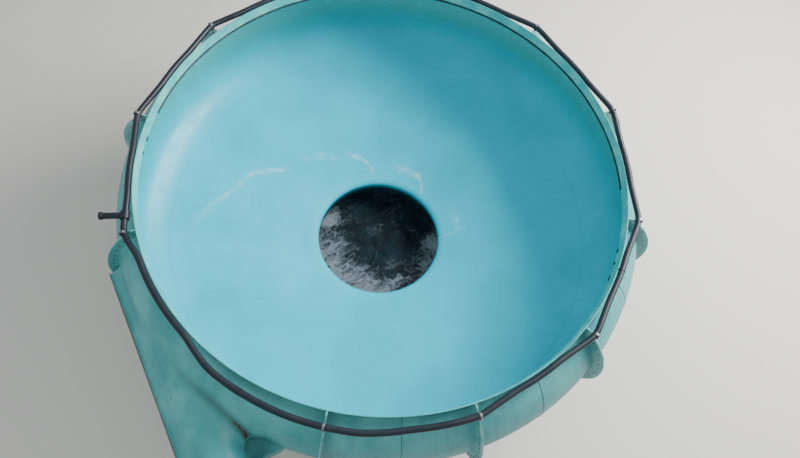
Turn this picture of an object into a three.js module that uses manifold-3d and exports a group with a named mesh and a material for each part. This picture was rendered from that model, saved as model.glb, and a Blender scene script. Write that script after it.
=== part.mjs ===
// Open glass-fibre water slide bowl: a round-walled bowl of bolted panels on a steel ring stand, with a
// closed entry tube that joins the wall tangentially, a water pipe round the rim, and a drop hole over a
// round splash basin. Millimetres, +Z up. The origin is on the ground, on the axis of the bowl. Radii are
// from that axis, and heights in the bowl's own group are from the top of the rim, so they are negative.
import * as THREE from "three";
import { mergeVertices } from "three/addons/utils/BufferGeometryUtils.js";
import Module from "manifold-3d";

const wasm = await Module();
wasm.setup();

// Driving dimensions of the bowl
const rimRadius = 4400; // inside the rim, at its top
const rimHeight = 4800; // top of the rim above the ground
const bulgeRadius = 4960; // widest outside radius of the wall
const bulgeDrop = 1232; // depth of the widest place below the rim
const floorJointRadius = 3520; // where wall panels are bolted to floor panels
const bendStartRadius = 3872; // where the wall starts to curve up
const holeRadius = 1298;
const holeDrop = 2904; // depth of the floor cone, carried on to the hole's radius
const floorSlope = 0.2376; // 13.4 degrees
const shellThickness = 24;
const panelAngle = 30;
const stepAngle = 7.5; // facet of every swept piece of the bowl
const entryFrom = 210; // the panel with the tube takes two places, 210 to 270 degrees
const entryTo = 270;

// Rim collar
const collarHeight = 200;
const collarLean = 35; // how much further out its top is than its foot
const collarThickness = 20;
const collarEdge = 6;
const collarCount = 4;
const collarFirstJoint = 30;

// Bolting flanges and gaps
const seamGap = 0.4; // between faces that are bolted together
const gapAngle = 0.0025; // half the gap between neighbouring panels
const flangeAngle = 0.16; // one flange of a rib, 14 mm at the widest radius
const draftAngle = 0.04; // slant of the flange's root
const ribHeight = 200; // ribs stand this far out of the wall
const ribFootHeight = 70; // and this far below it at the floor joint
const ribTaper = 0.45; // share of the wall's outline on which a rib grows to its full height
const ribTopRadius = 4492;
const ribTopDrop = 3;
const upstandHeight = 45;
const upstandThickness = 17;
const jointFlangeDepth = 90;
const jointFlangeThickness = 12;
const ribFootSink = 2; // how far a rib's foot reaches below the floor joint's flange

// Floor and drop hole
const floorPanelAngle = 60;
const floorFirstJoint = 30;
const throatJointRadius = 1570;
const lipStartRadius = 1448;
const lipDepth = 116; // from the floor cone's end down to the neck
const skirtDrop = 3320;
const skirtRadius = 1350;

// Entry tube
const tubeRadius = 405; // outside
const tubeWall = 12;
const tubeTangentAngle = 219; // where the tube's line touches the wall
const tubeSlope = 0.08; // rise of the tube for its length
const tubeSides = 24;
const stubLength = 3500;
const sectionLength = 1550;
const sectionCount = 2;
const tubeFlangeRadius = 465;
const tubeFlangeThickness = 14;
const finWidth = 130;
const finThickness = 24;
const finSink = 20; // how far a fin's root lies in the tube's wall
const longFinWidth = 200; // the fin on the outside of the stub, with the moulding drawn out to it
const swellWidth = 140; // how far the moulding swells out on that fin
const swellSink = 1; // how far its edges lie inside the fin's faces
const finEndAngle = 8.92; // the long fin runs on to the rib before the tangent

// Water pipe round the rim
const pipeRadius = 55;
const pipeDrop = 9;
const pipeCornerRadius = 4616; // at each rib
const pipePlay = 5; // between the pipe and the collar where they come nearest
// Over the tube the pipe takes its own course: angle and distance from the axis
const pipeDetour = [
  [210, pipeCornerRadius],
  [216, 4480],
  [237, 4480],
  [245, 4610],
  [262, 4650],
  [277, 4670],
  [287, 4610],
  [300, pipeCornerRadius],
];
const pipeParts = 3;
const pipeFirstJoint = 132;
const clampWidth = 40;
const clampThickness = 10;
const clampPlay = 12;
const clampFootHalf = 32;
const feedAngle = 206;
const feedLength = 420;
const feedSleeveLength = 150;
const feedSleeveThickness = 12;
const feedCollarLength = 60;

// Stand
const ringBeamRadius = 4150;
const ringBeamWidth = 120;
const ringBeamHeight = 240;
const ringBeamParts = 3;
const legCount = 6;
const legFirstAngle = 30;
const legRadius = 110;
const basePlateSize = 420;
const basePlateThickness = 25;
const capPlateSize = 280;
const capPlateThickness = 20;
const armWidth = 100;
const armHeight = 135;
const armPlay = 1; // between an arm and the flanges above it
const armPostRadius = 45;
const armPlateWidth = 96;
const armPlateLength = 160;
const armPlateThickness = 12;
const hubInnerRadius = 1480;
const hubOuterRadius = 1610;
const hubHeight = 120;

// Splash basin
const basinRadius = 2250;
const basinWall = 180;
const basinHeight = 1250;
const basinFloorThickness = 120;
const basinCoping = 40;

const seamRadius = rimRadius - collarLean;
const wallCentreRadius = bulgeRadius - 1145;
const { cos, sin, tan, acos, PI } = Math;
const radians = THREE.MathUtils.degToRad;
const at = (radius, height) => new THREE.Vector2(radius, height);

function finish(name, colour, roughness, metalness = 0) {
  return new THREE.MeshStandardMaterial({ name, color: colour, roughness, metalness });
}
const finishes = {
  wall: () => finish("teal gelcoat", 0x79bdb6, 0.35),
  inside: () => finish("turquoise gelcoat", 0x5fc3d3, 0.25),
  pipe: () => finish("grey pipe plastic", 0x57535c, 0.5),
  stainless: () => finish("stainless steel", 0xb9bdc2, 0.3, 1),
  steel: () => finish("green paint on steel", 0x2c8a45, 0.4),
  concrete: () => finish("painted concrete", 0xb7bfbd, 0.8),
};

function named(name, geometry, material) {
  const mesh = new THREE.Mesh(geometry, material);
  mesh.name = name;
  return mesh;
}

// Solids for joining and cutting
function toSolid(geometry) {
  const bare = geometry.index ? geometry.toNonIndexed() : geometry.clone();
  bare.deleteAttribute("normal");
  bare.deleteAttribute("uv");
  const merged = mergeVertices(bare, 1e-3);
  const vertProperties = merged.getAttribute("position").array;
  const triVerts = new Uint32Array(merged.index.array);
  return new wasm.Manifold(new wasm.Mesh({ numProp: 3, vertProperties, triVerts }));
}

function toGeometry(solid) {
  const mesh = solid.getMesh();
  const geometry = new THREE.BufferGeometry();
  geometry.setAttribute("position", new THREE.BufferAttribute(mesh.vertProperties, 3));
  geometry.setIndex(new THREE.BufferAttribute(mesh.triVerts, 1));
  geometry.computeVertexNormals();
  return geometry;
}

function joined(geometries) {
  return geometries.map(toSolid).reduce((whole, part) => whole.add(part));
}

// A closed body swept round the Z axis. Each station is an angle in degrees and an outline of radius and
// height, counter-clockwise, and every outline has the same number of points.
function sweepRound(stations) {
  const size = stations[0].outline.length;
  const positions = [];
  const faces = [];
  for (const { angle, outline } of stations) {
    const turn = radians(angle);
    for (const p of outline) positions.push(p.x * cos(turn), p.x * sin(turn), p.y);
  }
  for (let s = 0; s + 1 < stations.length; s++) {
    for (let j = 0; j < size; j++) {
      const here = s * size + j;
      const next = s * size + ((j + 1) % size);
      faces.push(here, here + size, next, here + size, next + size, next);
    }
  }
  const last = (stations.length - 1) * size;
  for (const [a, b, c] of THREE.ShapeUtils.triangulateShape(stations[0].outline, [])) {
    faces.push(a, b, c);
  }
  for (const [a, b, c] of THREE.ShapeUtils.triangulateShape(stations.at(-1).outline, [])) {
    faces.push(last + c, last + b, last + a);
  }
  const geometry = new THREE.BufferGeometry();
  geometry.setAttribute("position", new THREE.Float32BufferAttribute(positions, 3));
  geometry.setIndex(faces);
  geometry.computeVertexNormals();
  return geometry;
}

function plainSweep(outline, from, to, step = stepAngle) {
  const stations = [];
  const steps = Math.round((to - from) / step);
  for (let s = 0; s <= steps; s++) {
    const edge = s === 0 ? gapAngle : s === steps ? -gapAngle : 0;
    stations.push({ angle: from + ((to - from) * s) / steps + edge, outline });
  }
  return sweepRound(stations);
}

// A panel between two joints: its flanged outline at both ends and its plain outline between them.
function flangedSweep(plain, flanged, from, to) {
  const stations = [
    { angle: from + gapAngle, outline: flanged },
    { angle: from + gapAngle + flangeAngle, outline: flanged },
    { angle: from + gapAngle + flangeAngle + draftAngle, outline: plain },
  ];
  for (let angle = from + stepAngle; angle < to - 1; angle += stepAngle) {
    stations.push({ angle, outline: plain });
  }
  stations.push(
    { angle: to - gapAngle - flangeAngle - draftAngle, outline: plain },
    { angle: to - gapAngle - flangeAngle, outline: flanged },
    { angle: to - gapAngle, outline: flanged },
  );
  return sweepRound(stations);
}

// A closed ring from an outline of radius and height, counter-clockwise
function ring(outline, steps) {
  const geometry = new THREE.LatheGeometry([...outline, outline[0]], steps);
  return geometry.rotateX(PI / 2);
}

// Points of a line moved sideways, to the right of its direction
function beside(points, distance) {
  return points.map((p, k) => {
    const before = points[Math.max(k - 1, 0)];
    const after = points[Math.min(k + 1, points.length - 1)];
    const along = after.clone().sub(before).normalize();
    const move = typeof distance === "function" ? distance(k / (points.length - 1)) : distance;
    return at(p.x + along.y * move, p.y - along.x * move);
  });
}

// Wall of the bowl, from the floor joint out and up to the seam under the collar
const floorHeight = (radius) => -holeDrop + floorSlope * (radius - holeRadius);
const insideReach = bulgeRadius - shellThickness - wallCentreRadius;
const seamTurn = acos((seamRadius - wallCentreRadius) / insideReach);
const insideRise = (bulgeDrop - collarHeight) / sin(seamTurn);

function wallInside() {
  const path = new THREE.Path();
  const bendPull = 585;
  path.moveTo(floorJointRadius, floorHeight(floorJointRadius));
  path.lineTo(bendStartRadius, floorHeight(bendStartRadius));
  path.bezierCurveTo(
    bendStartRadius + bendPull,
    floorHeight(bendStartRadius + bendPull),
    bulgeRadius - shellThickness,
    -bulgeDrop - bendPull,
    bulgeRadius - shellThickness,
    -bulgeDrop,
  );
  path.absellipse(wallCentreRadius, -bulgeDrop, insideReach, insideRise, 0, seamTurn, false, 0);
  return path.getSpacedPoints(10);
}

const inside = wallInside();
const outside = beside(inside, shellThickness);
const ribEdge = beside(inside, (share) => {
  const grown = Math.min(1, share / ribTaper);
  return shellThickness + ribFootHeight + (ribHeight - ribFootHeight) * grown;
});

// Outlines of a wall panel, plain and at its flanges, with the same points in the same order
const ledgeRadius = seamRadius + collarThickness + seamGap;
const upstandRadius = ledgeRadius + upstandThickness + (upstandHeight * collarLean) / collarHeight;
const inward = [...inside].reverse();
const jointFoot = floorHeight(floorJointRadius) - jointFlangeDepth;
const jointFlange = [
  at(floorJointRadius, jointFoot),
  at(floorJointRadius + jointFlangeThickness, jointFoot),
];
const wallPlain = [
  ...jointFlange,
  at(floorJointRadius + jointFlangeThickness + 6, outside[0].y + 2),
  ...outside.slice(1, -1),
  at(upstandRadius, -collarHeight - 2),
  at(upstandRadius, -collarHeight + upstandHeight),
  at(upstandRadius - upstandThickness, -collarHeight + upstandHeight),
  at(ledgeRadius, -collarHeight),
  ...inward,
];
const wallFlanged = [
  ...jointFlange,
  at(floorJointRadius + jointFlangeThickness + 30, jointFoot - ribFootSink),
  ...ribEdge.slice(1, -1),
  at(ribTopRadius + 22, -ribTopDrop - 28),
  at(ribTopRadius, -ribTopDrop),
  at(rimRadius + collarThickness + 1.5, -ribTopDrop),
  at(ledgeRadius, -collarHeight),
  ...inward,
];

function wallPanels() {
  const group = new THREE.Group();
  const places = 360 / panelAngle;
  let number = 1;
  for (let place = 0; place < places; place++) {
    const from = (entryTo + place * panelAngle) % 360;
    if (from >= entryFrom && from < entryTo) continue;
    const geometry = flangedSweep(wallPlain, wallFlanged, 0, panelAngle);
    const panel = named("wall_panel_" + number, geometry, finishes.wall());
    panel.rotation.z = radians(from);
    group.add(panel);
    number++;
  }
  return group;
}

// The tube's own frame: its X runs upstream along the tube, its Y points towards the bowl, its Z up.
const tubeOffset = bulgeRadius - tubeRadius;
const tubeTurn = radians(tubeTangentAngle);
const tubeFrame = new THREE.Matrix4().makeBasis(
  new THREE.Vector3(-sin(tubeTurn), cos(tubeTurn), tubeSlope).normalize(),
  new THREE.Vector3(-cos(tubeTurn), -sin(tubeTurn), 0),
  new THREE.Vector3(tubeSlope * sin(tubeTurn), -tubeSlope * cos(tubeTurn), 1).normalize(),
);
tubeFrame.setPosition(tubeOffset * cos(tubeTurn), tubeOffset * sin(tubeTurn), -bulgeDrop);

function alongTube(radius, from, to) {
  const length = to - from;
  const geometry = new THREE.CylinderGeometry(radius, radius, length, tubeSides);
  return geometry.rotateZ(PI / 2).translate(from + length / 2, 0, 0);
}

function tubeFin(side, from, to) {
  const width = finWidth + finSink;
  const middle = side * (tubeRadius - finSink + width / 2);
  const geometry = new THREE.BoxGeometry(to - from, width, finThickness);
  return geometry.translate((from + to) / 2, middle, 0);
}

// The fin on the outside runs on past the tangent until it meets the rib
function longFin() {
  const root = tubeRadius - finSink;
  const edge = tubeRadius + longFinWidth;
  const plan = new THREE.Shape([
    at(-tan(radians(finEndAngle)) * (tubeOffset + root), -root),
    at(-tan(radians(finEndAngle)) * (tubeOffset + edge), -edge),
    at(stubLength, -edge),
    at(stubLength, -root),
  ]);
  const geometry = new THREE.ExtrudeGeometry(plan, { depth: finThickness, bevelEnabled: false });
  return geometry.translate(0, 0, -finThickness / 2);
}

// On that side the moulding swells out from the tube, above and below, and ends on the fin
function swell() {
  const tip = tubeRadius + swellWidth;
  const start = -tan(radians(finEndAngle)) * (tubeOffset + tip);
  const touch = acos(tubeRadius / tip); // where a line from the tip touches the tube
  const section = new THREE.Shape([
    at(-tip, finThickness / 2 - swellSink),
    at(-tubeRadius * cos(touch) + finSink, tubeRadius * sin(touch) - finSink),
    at(-tubeRadius * cos(touch) + finSink, -tubeRadius * sin(touch) + finSink),
    at(-tip, swellSink - finThickness / 2),
  ]);
  const options = { depth: stubLength - start, bevelEnabled: false };
  const geometry = new THREE.ExtrudeGeometry(section, options);
  return geometry.rotateY(PI / 2).rotateX(PI / 2).translate(start, 0, 0);
}

// The panel that the tube runs into: wall and tube are one moulding, bored through
function entryPanel() {
  const wall = toSolid(flangedSweep(wallPlain, wallFlanged, entryFrom, entryTo));
  const core = beside(inside, shellThickness / 2);
  const coreOutline = [
    at(0, core[0].y),
    ...core,
    at(0, core.at(-1).y),
  ];
  const bowlCore = toSolid(new THREE.LatheGeometry(coreOutline, 96).rotateX(PI / 2));
  const place = tubeFrame.toArray();
  const ribTurn = radians(tubeTangentAngle - finEndAngle); // the fin and the swell end at this rib
  const tube = joined([
    alongTube(tubeRadius, 0, stubLength),
    longFin(),
    swell(),
    alongTube(tubeFlangeRadius, stubLength - tubeFlangeThickness, stubLength),
  ])
    .transform(place)
    .trimByPlane([-sin(ribTurn), cos(ribTurn), 0], 0);
  const bore = toSolid(alongTube(tubeRadius - tubeWall, 0, stubLength + 1)).transform(place);
  const solid = wall.add(tube.subtract(bowlCore)).subtract(bore);
  return named("entry_panel", toGeometry(solid), finishes.wall());
}

// Each section of the tube is two half shells, bolted together along their fins
function tubeSections() {
  const group = new THREE.Group();
  for (let k = 0; k < sectionCount; k++) {
    const from = stubLength + k * sectionLength + seamGap;
    const to = from + sectionLength - seamGap;
    const solid = joined([
      alongTube(tubeRadius, from, to),
      tubeFin(1, from, to),
      tubeFin(-1, from, to),
      alongTube(tubeFlangeRadius, from, from + tubeFlangeThickness),
      alongTube(tubeFlangeRadius, to - tubeFlangeThickness, to),
    ]).subtract(toSolid(alongTube(tubeRadius - tubeWall, from - 1, to + 1)));
    const top = solid.trimByPlane([0, 0, 1], seamGap / 2);
    const bottom = solid.trimByPlane([0, 0, -1], seamGap / 2);
    group.add(named("flume_top_" + (k + 1), toGeometry(top), finishes.wall()));
    group.add(named("flume_bottom_" + (k + 1), toGeometry(bottom), finishes.wall()));
  }
  group.applyMatrix4(tubeFrame);
  return group;
}

function collars() {
  const group = new THREE.Group();
  const foot = -collarHeight + seamGap;
  const outline = [
    at(seamRadius, foot),
    at(seamRadius + collarThickness, foot),
    at(rimRadius + collarThickness, -collarEdge),
    at(rimRadius + collarThickness - collarEdge, 0),
    at(rimRadius + collarEdge, 0),
    at(rimRadius, -collarEdge),
  ];
  const span = 360 / collarCount;
  for (let k = 0; k < collarCount; k++) {
    const collar = named("rim_collar_" + (k + 1), plainSweep(outline, 0, span), finishes.inside());
    collar.rotation.z = radians(collarFirstJoint + k * span);
    group.add(collar);
  }
  return group;
}

function floorPanels() {
  const group = new THREE.Group();
  const inner = throatJointRadius;
  const outer = floorJointRadius - seamGap;
  const under = (radius) => floorHeight(radius) - shellThickness;
  const foot = (radius) => floorHeight(radius) - jointFlangeDepth;
  const outline = (drop) => [
    at(inner, foot(inner)),
    at(inner + jointFlangeThickness, foot(inner)),
    at(inner + jointFlangeThickness + 8, drop(inner + jointFlangeThickness + 8)),
    at(outer - jointFlangeThickness - 8, drop(outer - jointFlangeThickness - 8)),
    at(outer - jointFlangeThickness, foot(outer)),
    at(outer, foot(outer)),
    at(outer, floorHeight(outer)),
    at(inner, floorHeight(inner)),
  ];
  const flange = (radius) => floorHeight(radius) - jointFlangeDepth + 1;
  const geometry = flangedSweep(outline(under), outline(flange), 0, floorPanelAngle);
  for (let k = 0; k < 360 / floorPanelAngle; k++) {
    const panel = named("floor_panel_" + (k + 1), geometry.clone(), finishes.inside());
    panel.rotation.z = radians(floorFirstJoint + k * floorPanelAngle);
    group.add(panel);
  }
  return group;
}

// Rounded lip and neck of the drop hole, with the flange that the floor panels are bolted to
function dropHole() {
  const path = new THREE.Path();
  const joint = throatJointRadius - seamGap;
  const lipEnd = floorHeight(lipStartRadius) - lipDepth;
  path.moveTo(joint, floorHeight(joint));
  path.lineTo(lipStartRadius, floorHeight(lipStartRadius));
  path.quadraticCurveTo(holeRadius, floorHeight(holeRadius), holeRadius, lipEnd);
  path.lineTo(skirtRadius, -skirtDrop);
  const face = path.getPoints(4);
  const back = beside(face, -shellThickness).reverse();
  const foot = floorHeight(joint) - jointFlangeDepth;
  const outline = [
    ...face,
    ...back.slice(0, -1),
    at(joint - jointFlangeThickness, foot),
    at(joint, foot),
  ];
  return named("hole_ring", ring(outline, 360 / stepAngle), finishes.inside());
}

// Pipe round the rim, bent at every rib and straight between them, or along the collar where that is in
// the way
function pipeRadiusAt(angle) {
  if (angle > pipeDetour[0][0] && angle < pipeDetour.at(-1)[0]) {
    const next = pipeDetour.findIndex((bend) => bend[0] >= angle);
    const [fromAngle, fromRadius] = pipeDetour[next - 1];
    const [toAngle, toRadius] = pipeDetour[next];
    return THREE.MathUtils.mapLinear(angle, fromAngle, toAngle, fromRadius, toRadius);
  }
  const half = panelAngle / 2;
  const fromMiddle = (angle % panelAngle) - half;
  const straight = (pipeCornerRadius * cos(radians(half))) / cos(radians(fromMiddle));
  return Math.max(straight, rimRadius + collarThickness + pipeRadius + pipePlay);
}

function ringPipes() {
  const group = new THREE.Group();
  const section = (angle) => {
    const corners = [];
    for (let k = 0; k < 8; k++) {
      const turn = (k * PI) / 4;
      const radius = pipeRadiusAt(((angle % 360) + 360) % 360) + pipeRadius * cos(turn);
      corners.push(at(radius, -pipeDrop + pipeRadius * sin(turn)));
    }
    return { angle, outline: corners };
  };
  const span = 360 / pipeParts;
  for (let k = 0; k < pipeParts; k++) {
    const from = pipeFirstJoint + k * span;
    const angles = [from + gapAngle, from + span - gapAngle];
    for (let a = Math.ceil(from / stepAngle) * stepAngle; a < from + span; a += stepAngle) {
      angles.push(a);
    }
    const bends = pipeDetour.map((bend) => bend[0]).filter((a) => a > from && a < from + span);
    angles.push(...bends.filter((a) => !angles.includes(a)));
    angles.sort((a, b) => a - b);
    group.add(named("ring_pipe_" + (k + 1), sweepRound(angles.map(section)), finishes.pipe()));
  }
  return group;
}

// Height of a rib's edge at a radius on its upper side
function ribEdgeHeight(radius) {
  const edge = [...ribEdge.slice(1, -1), at(ribTopRadius + 22, -ribTopDrop - 28)];
  for (let k = edge.length - 1; k > 0; k--) {
    const [upper, lower] = [edge[k], edge[k - 1]];
    if (radius >= upper.x && radius <= lower.x) {
      return upper.y + ((lower.y - upper.y) * (radius - upper.x)) / (lower.x - upper.x);
    }
  }
  return -ribTopDrop;
}

// A clamp that stands on a rib's edge and holds the pipe
function clampOutline(radius) {
  const holeSize = pipeRadius + clampPlay;
  const reach = holeSize + clampThickness;
  const saddleTurn = Math.asin((pipeRadius + seamGap) / holeSize); // the pipe lies on a flat saddle
  const shape = new THREE.Shape();
  shape.absarc(radius, -pipeDrop, reach, radians(-60), radians(240), false);
  for (const side of [-1, 1]) {
    const footRadius = radius + side * clampFootHalf;
    shape.lineTo(footRadius, ribEdgeHeight(footRadius) + seamGap);
  }
  const hole = new THREE.Path();
  hole.absarc(radius, -pipeDrop, holeSize, -saddleTurn, PI + saddleTurn, false);
  shape.holes.push(hole);
  return shape;
}

function clamps() {
  const group = new THREE.Group();
  let number = 1;
  for (let angle = entryTo; angle <= entryFrom + 360; angle += panelAngle) {
    const shape = clampOutline(pipeRadiusAt(angle % 360));
    const options = { depth: clampWidth, bevelEnabled: false, curveSegments: 8 };
    const geometry = new THREE.ExtrudeGeometry(shape, options);
    geometry.translate(0, 0, -clampWidth / 2).rotateX(PI / 2);
    const clamp = named("pipe_clamp_" + number, geometry, finishes.stainless());
    clamp.rotation.z = radians(angle);
    group.add(clamp);
    number++;
  }
  return group;
}

// Branch through which the ring pipe is fed: a sleeve on the pipe and a short branch with a collar
function feedBranch() {
  const radius = pipeRadiusAt(feedAngle);
  const turn = radians(feedAngle - (feedAngle % panelAngle) + panelAngle / 2);
  const holeSize = pipeRadius + clampPlay;
  const middle = holeSize - pipeRadius - seamGap;
  const round = (size, length) => new THREE.CylinderGeometry(size, size, length, 16);
  const outside = joined([
    round(holeSize + feedSleeveThickness, feedSleeveLength).translate(0, 0, middle),
    round(pipeRadius, feedLength).rotateZ(PI / 2).translate(feedLength / 2, 0, middle),
    round(pipeRadius + feedSleeveThickness, feedCollarLength)
      .rotateZ(PI / 2)
      .translate(feedLength - feedCollarLength / 2, 0, middle),
  ]);
  const hole = toSolid(round(holeSize, feedSleeveLength + 2).translate(0, 0, middle));
  const branch = named("feed_branch", toGeometry(outside.subtract(hole)), finishes.pipe());
  branch.position.set(radius * cos(radians(feedAngle)), radius * sin(radians(feedAngle)), -pipeDrop);
  branch.rotation.z = turn;
  return branch;
}

// Stand: ring beam under the ribs, legs, and arms with a hub ring under the floor
const beamInside = ringBeamRadius - ringBeamWidth / 2;
const beamOutside = ringBeamRadius + ringBeamWidth / 2;

function ribUnderside(radius) {
  const edge = ribEdge.slice(1);
  for (let k = 0; k + 1 < edge.length; k++) {
    if (radius >= edge[k].x && radius <= edge[k + 1].x) {
      const share = (radius - edge[k].x) / (edge[k + 1].x - edge[k].x);
      return edge[k].y + (edge[k + 1].y - edge[k].y) * share;
    }
  }
  return edge[0].y;
}

const beamTop = Math.min(ribUnderside(beamInside), ribUnderside(beamOutside)) - seamGap;

function ringBeams() {
  const group = new THREE.Group();
  const outline = [
    at(beamInside, beamTop - ringBeamHeight),
    at(beamOutside, beamTop - ringBeamHeight),
    at(beamOutside, beamTop),
    at(beamInside, beamTop),
  ];
  const span = 360 / ringBeamParts;
  for (let k = 0; k < ringBeamParts; k++) {
    const beam = named("ring_beam_" + (k + 1), plainSweep(outline, 0, span), finishes.steel());
    beam.rotation.z = radians(legFirstAngle + k * span);
    group.add(beam);
  }
  return group;
}

const hubTop = floorHeight(throatJointRadius) - jointFlangeDepth - seamGap;

function hubRing() {
  const outline = [
    at(hubInnerRadius, hubTop - hubHeight),
    at(hubOuterRadius, hubTop - hubHeight),
    at(hubOuterRadius, hubTop),
    at(hubInnerRadius, hubTop),
  ];
  return named("hub_ring", ring(outline, 360 / stepAngle), finishes.steel());
}

// Arms under the floor's radial flanges, each with a short post that stands on the basin's wall
function floorArms() {
  const group = new THREE.Group();
  const start = hubOuterRadius + seamGap;
  const end = beamInside - seamGap - (armWidth / 2) * tan(radians(stepAngle / 2));
  const rest = (radius) => floorHeight(radius) - jointFlangeDepth - armPlay;
  const bend = floorJointRadius - ribFootSink / floorSlope; // level from here on, under the wall's ribs
  const bar = new THREE.Shape([
    at(start, rest(start) - armHeight),
    at(bend, rest(bend) - armHeight),
    at(end, rest(bend) - armHeight),
    at(end, rest(bend)),
    at(bend, rest(bend)),
    at(start, rest(start)),
  ]);
  const arm = new THREE.ExtrudeGeometry(bar, { depth: armWidth, bevelEnabled: false });
  arm.translate(0, 0, -armWidth / 2).rotateX(PI / 2);
  const postPlace = basinRadius - basinWall / 2;
  const foot = basinHeight + seamGap - rimHeight;
  const postHeight = rest(postPlace) - armHeight / 2 - foot;
  const post = new THREE.CylinderGeometry(armPostRadius, armPostRadius, postHeight - 2, 12);
  post.rotateX(PI / 2).translate(postPlace, 0, foot + postHeight / 2);
  const plate = new THREE.BoxGeometry(armPlateWidth, armPlateLength, armPlateThickness);
  plate.translate(postPlace, 0, foot + armPlateThickness / 2);
  const solid = joined([arm, post, plate]);
  for (let k = 0; k < legCount; k++) {
    const piece = named("floor_arm_" + (k + 1), toGeometry(solid), finishes.steel());
    piece.rotation.z = radians(legFirstAngle + (k * 360) / legCount);
    group.add(piece);
  }
  return group;
}

function legs() {
  const group = new THREE.Group();
  const height = rimHeight + beamTop - ringBeamHeight - seamGap;
  const box = (size, thickness, z) => {
    return new THREE.BoxGeometry(size, size, thickness).translate(0, 0, z + thickness / 2);
  };
  const post = new THREE.CylinderGeometry(legRadius, legRadius, height - 2, 16);
  const solid = joined([
    box(basePlateSize, basePlateThickness, 0),
    post.rotateX(PI / 2).translate(0, 0, height / 2),
    box(capPlateSize, capPlateThickness, height - capPlateThickness),
  ]);
  for (let k = 0; k < legCount; k++) {
    const leg = named("leg_" + (k + 1), toGeometry(solid), finishes.steel());
    const turn = radians(legFirstAngle + (k * 360) / legCount);
    leg.position.set(ringBeamRadius * cos(turn), ringBeamRadius * sin(turn), 0);
    leg.rotation.z = turn;
    group.add(leg);
  }
  return group;
}

// Post with a cradle under the first tube section
function flumePost() {
  const cradleAt = stubLength + sectionLength * 0.8;
  const cradleLength = 120;
  const cradleThickness = 10;
  const cradleTurn = radians(50);
  const shape = new THREE.Shape();
  const innerRadius = tubeRadius + seamGap;
  const outerRadius = innerRadius + cradleThickness;
  shape.absarc(0, 0, outerRadius, -PI / 2 - cradleTurn, -PI / 2 + cradleTurn, false);
  shape.absarc(0, 0, innerRadius, -PI / 2 + cradleTurn, -PI / 2 - cradleTurn, true);
  const options = { depth: cradleLength, bevelEnabled: false, curveSegments: 10 };
  const cradle = new THREE.ExtrudeGeometry(shape, options);
  cradle.translate(0, 0, -cradleLength / 2).rotateX(PI / 2).rotateZ(PI / 2);
  cradle.translate(cradleAt, 0, 0).applyMatrix4(tubeFrame).translate(0, 0, rimHeight);
  const foot = new THREE.Vector3(cradleAt, 0, 0).applyMatrix4(tubeFrame);
  const top = foot.z + rimHeight - tubeRadius * 0.9;
  const post = new THREE.CylinderGeometry(legRadius, legRadius, top, 16);
  post.rotateX(PI / 2).translate(foot.x, foot.y, top / 2);
  const plate = new THREE.BoxGeometry(basePlateSize, basePlateSize, basePlateThickness);
  plate.translate(foot.x, foot.y, basePlateThickness / 2);
  const room = toSolid(
    alongTube(innerRadius, cradleAt - 600, cradleAt + 600)
      .applyMatrix4(tubeFrame)
      .translate(0, 0, rimHeight),
  );
  const solid = joined([cradle, post, plate]).subtract(room);
  return named("flume_post", toGeometry(solid), finishes.steel());
}

function basin() {
  const group = new THREE.Group();
  const inner = basinRadius - basinWall;
  const wall = ring(
    [
      at(inner, basinFloorThickness + seamGap),
      at(basinRadius, basinFloorThickness + seamGap),
      at(basinRadius, basinHeight - basinCoping),
      at(basinRadius - basinCoping, basinHeight),
      at(inner + basinCoping, basinHeight),
      at(inner, basinHeight - basinCoping),
    ],
    360 / stepAngle,
  );
  const sides = 360 / stepAngle;
  const floor = new THREE.CylinderGeometry(basinRadius, basinRadius, basinFloorThickness, sides);
  floor.rotateX(PI / 2).translate(0, 0, basinFloorThickness / 2);
  group.add(named("basin_wall", wall, finishes.concrete()));
  group.add(named("basin_floor", floor, finishes.concrete()));
  return group;
}

const bowl = new THREE.Group();
bowl.position.z = rimHeight;
bowl.add(wallPanels(), entryPanel(), tubeSections(), collars(), floorPanels(), dropHole());
bowl.add(ringPipes(), clamps(), feedBranch(), ringBeams(), hubRing(), floorArms());

const slideBowl = new THREE.Group();
slideBowl.add(bowl, legs(), flumePost(), basin());

export default slideBowl;
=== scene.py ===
from math import acos, cos, pi, radians, sin, tan

import bmesh
import bpy
import numpy as np
from mathutils import Matrix, Vector


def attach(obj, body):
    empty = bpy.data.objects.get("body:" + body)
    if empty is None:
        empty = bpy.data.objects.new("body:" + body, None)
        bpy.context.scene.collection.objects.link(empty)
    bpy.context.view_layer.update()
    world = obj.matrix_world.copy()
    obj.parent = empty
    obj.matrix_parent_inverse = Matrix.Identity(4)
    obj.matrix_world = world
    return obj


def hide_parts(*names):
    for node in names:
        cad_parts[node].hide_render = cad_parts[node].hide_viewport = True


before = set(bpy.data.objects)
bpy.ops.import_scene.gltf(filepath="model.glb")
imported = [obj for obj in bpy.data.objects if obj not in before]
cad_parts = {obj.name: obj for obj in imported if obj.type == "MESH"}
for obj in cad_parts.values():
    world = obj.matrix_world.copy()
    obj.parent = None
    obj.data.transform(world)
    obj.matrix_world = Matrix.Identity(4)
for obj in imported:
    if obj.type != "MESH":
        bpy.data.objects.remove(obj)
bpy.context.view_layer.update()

# Sizes are in metres. Radii are from the bowl's axis and heights are above the ground.
bowl = dict(
    rimRadius=4.4, rimHeight=4.8, bulgeRadius=4.96, bulgeHeight=3.568, wallCentreRadius=3.815,
    floorJointRadius=3.52, bendStartRadius=3.872, bendPull=0.585, holeRadius=1.298, holeHeight=1.896,
    floorSlope=0.2376, shell=0.024, seamRadius=4.365, seamHeight=4.6, panelAngle=30.0,
    entryFrom=210.0, entryTo=270.0, gapAngle=0.0025,
)


# Making meshes
def newPiece(name, mesh):
    piece = bpy.data.objects.new(name, mesh)
    bpy.context.scene.collection.objects.link(piece)
    return piece


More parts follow.
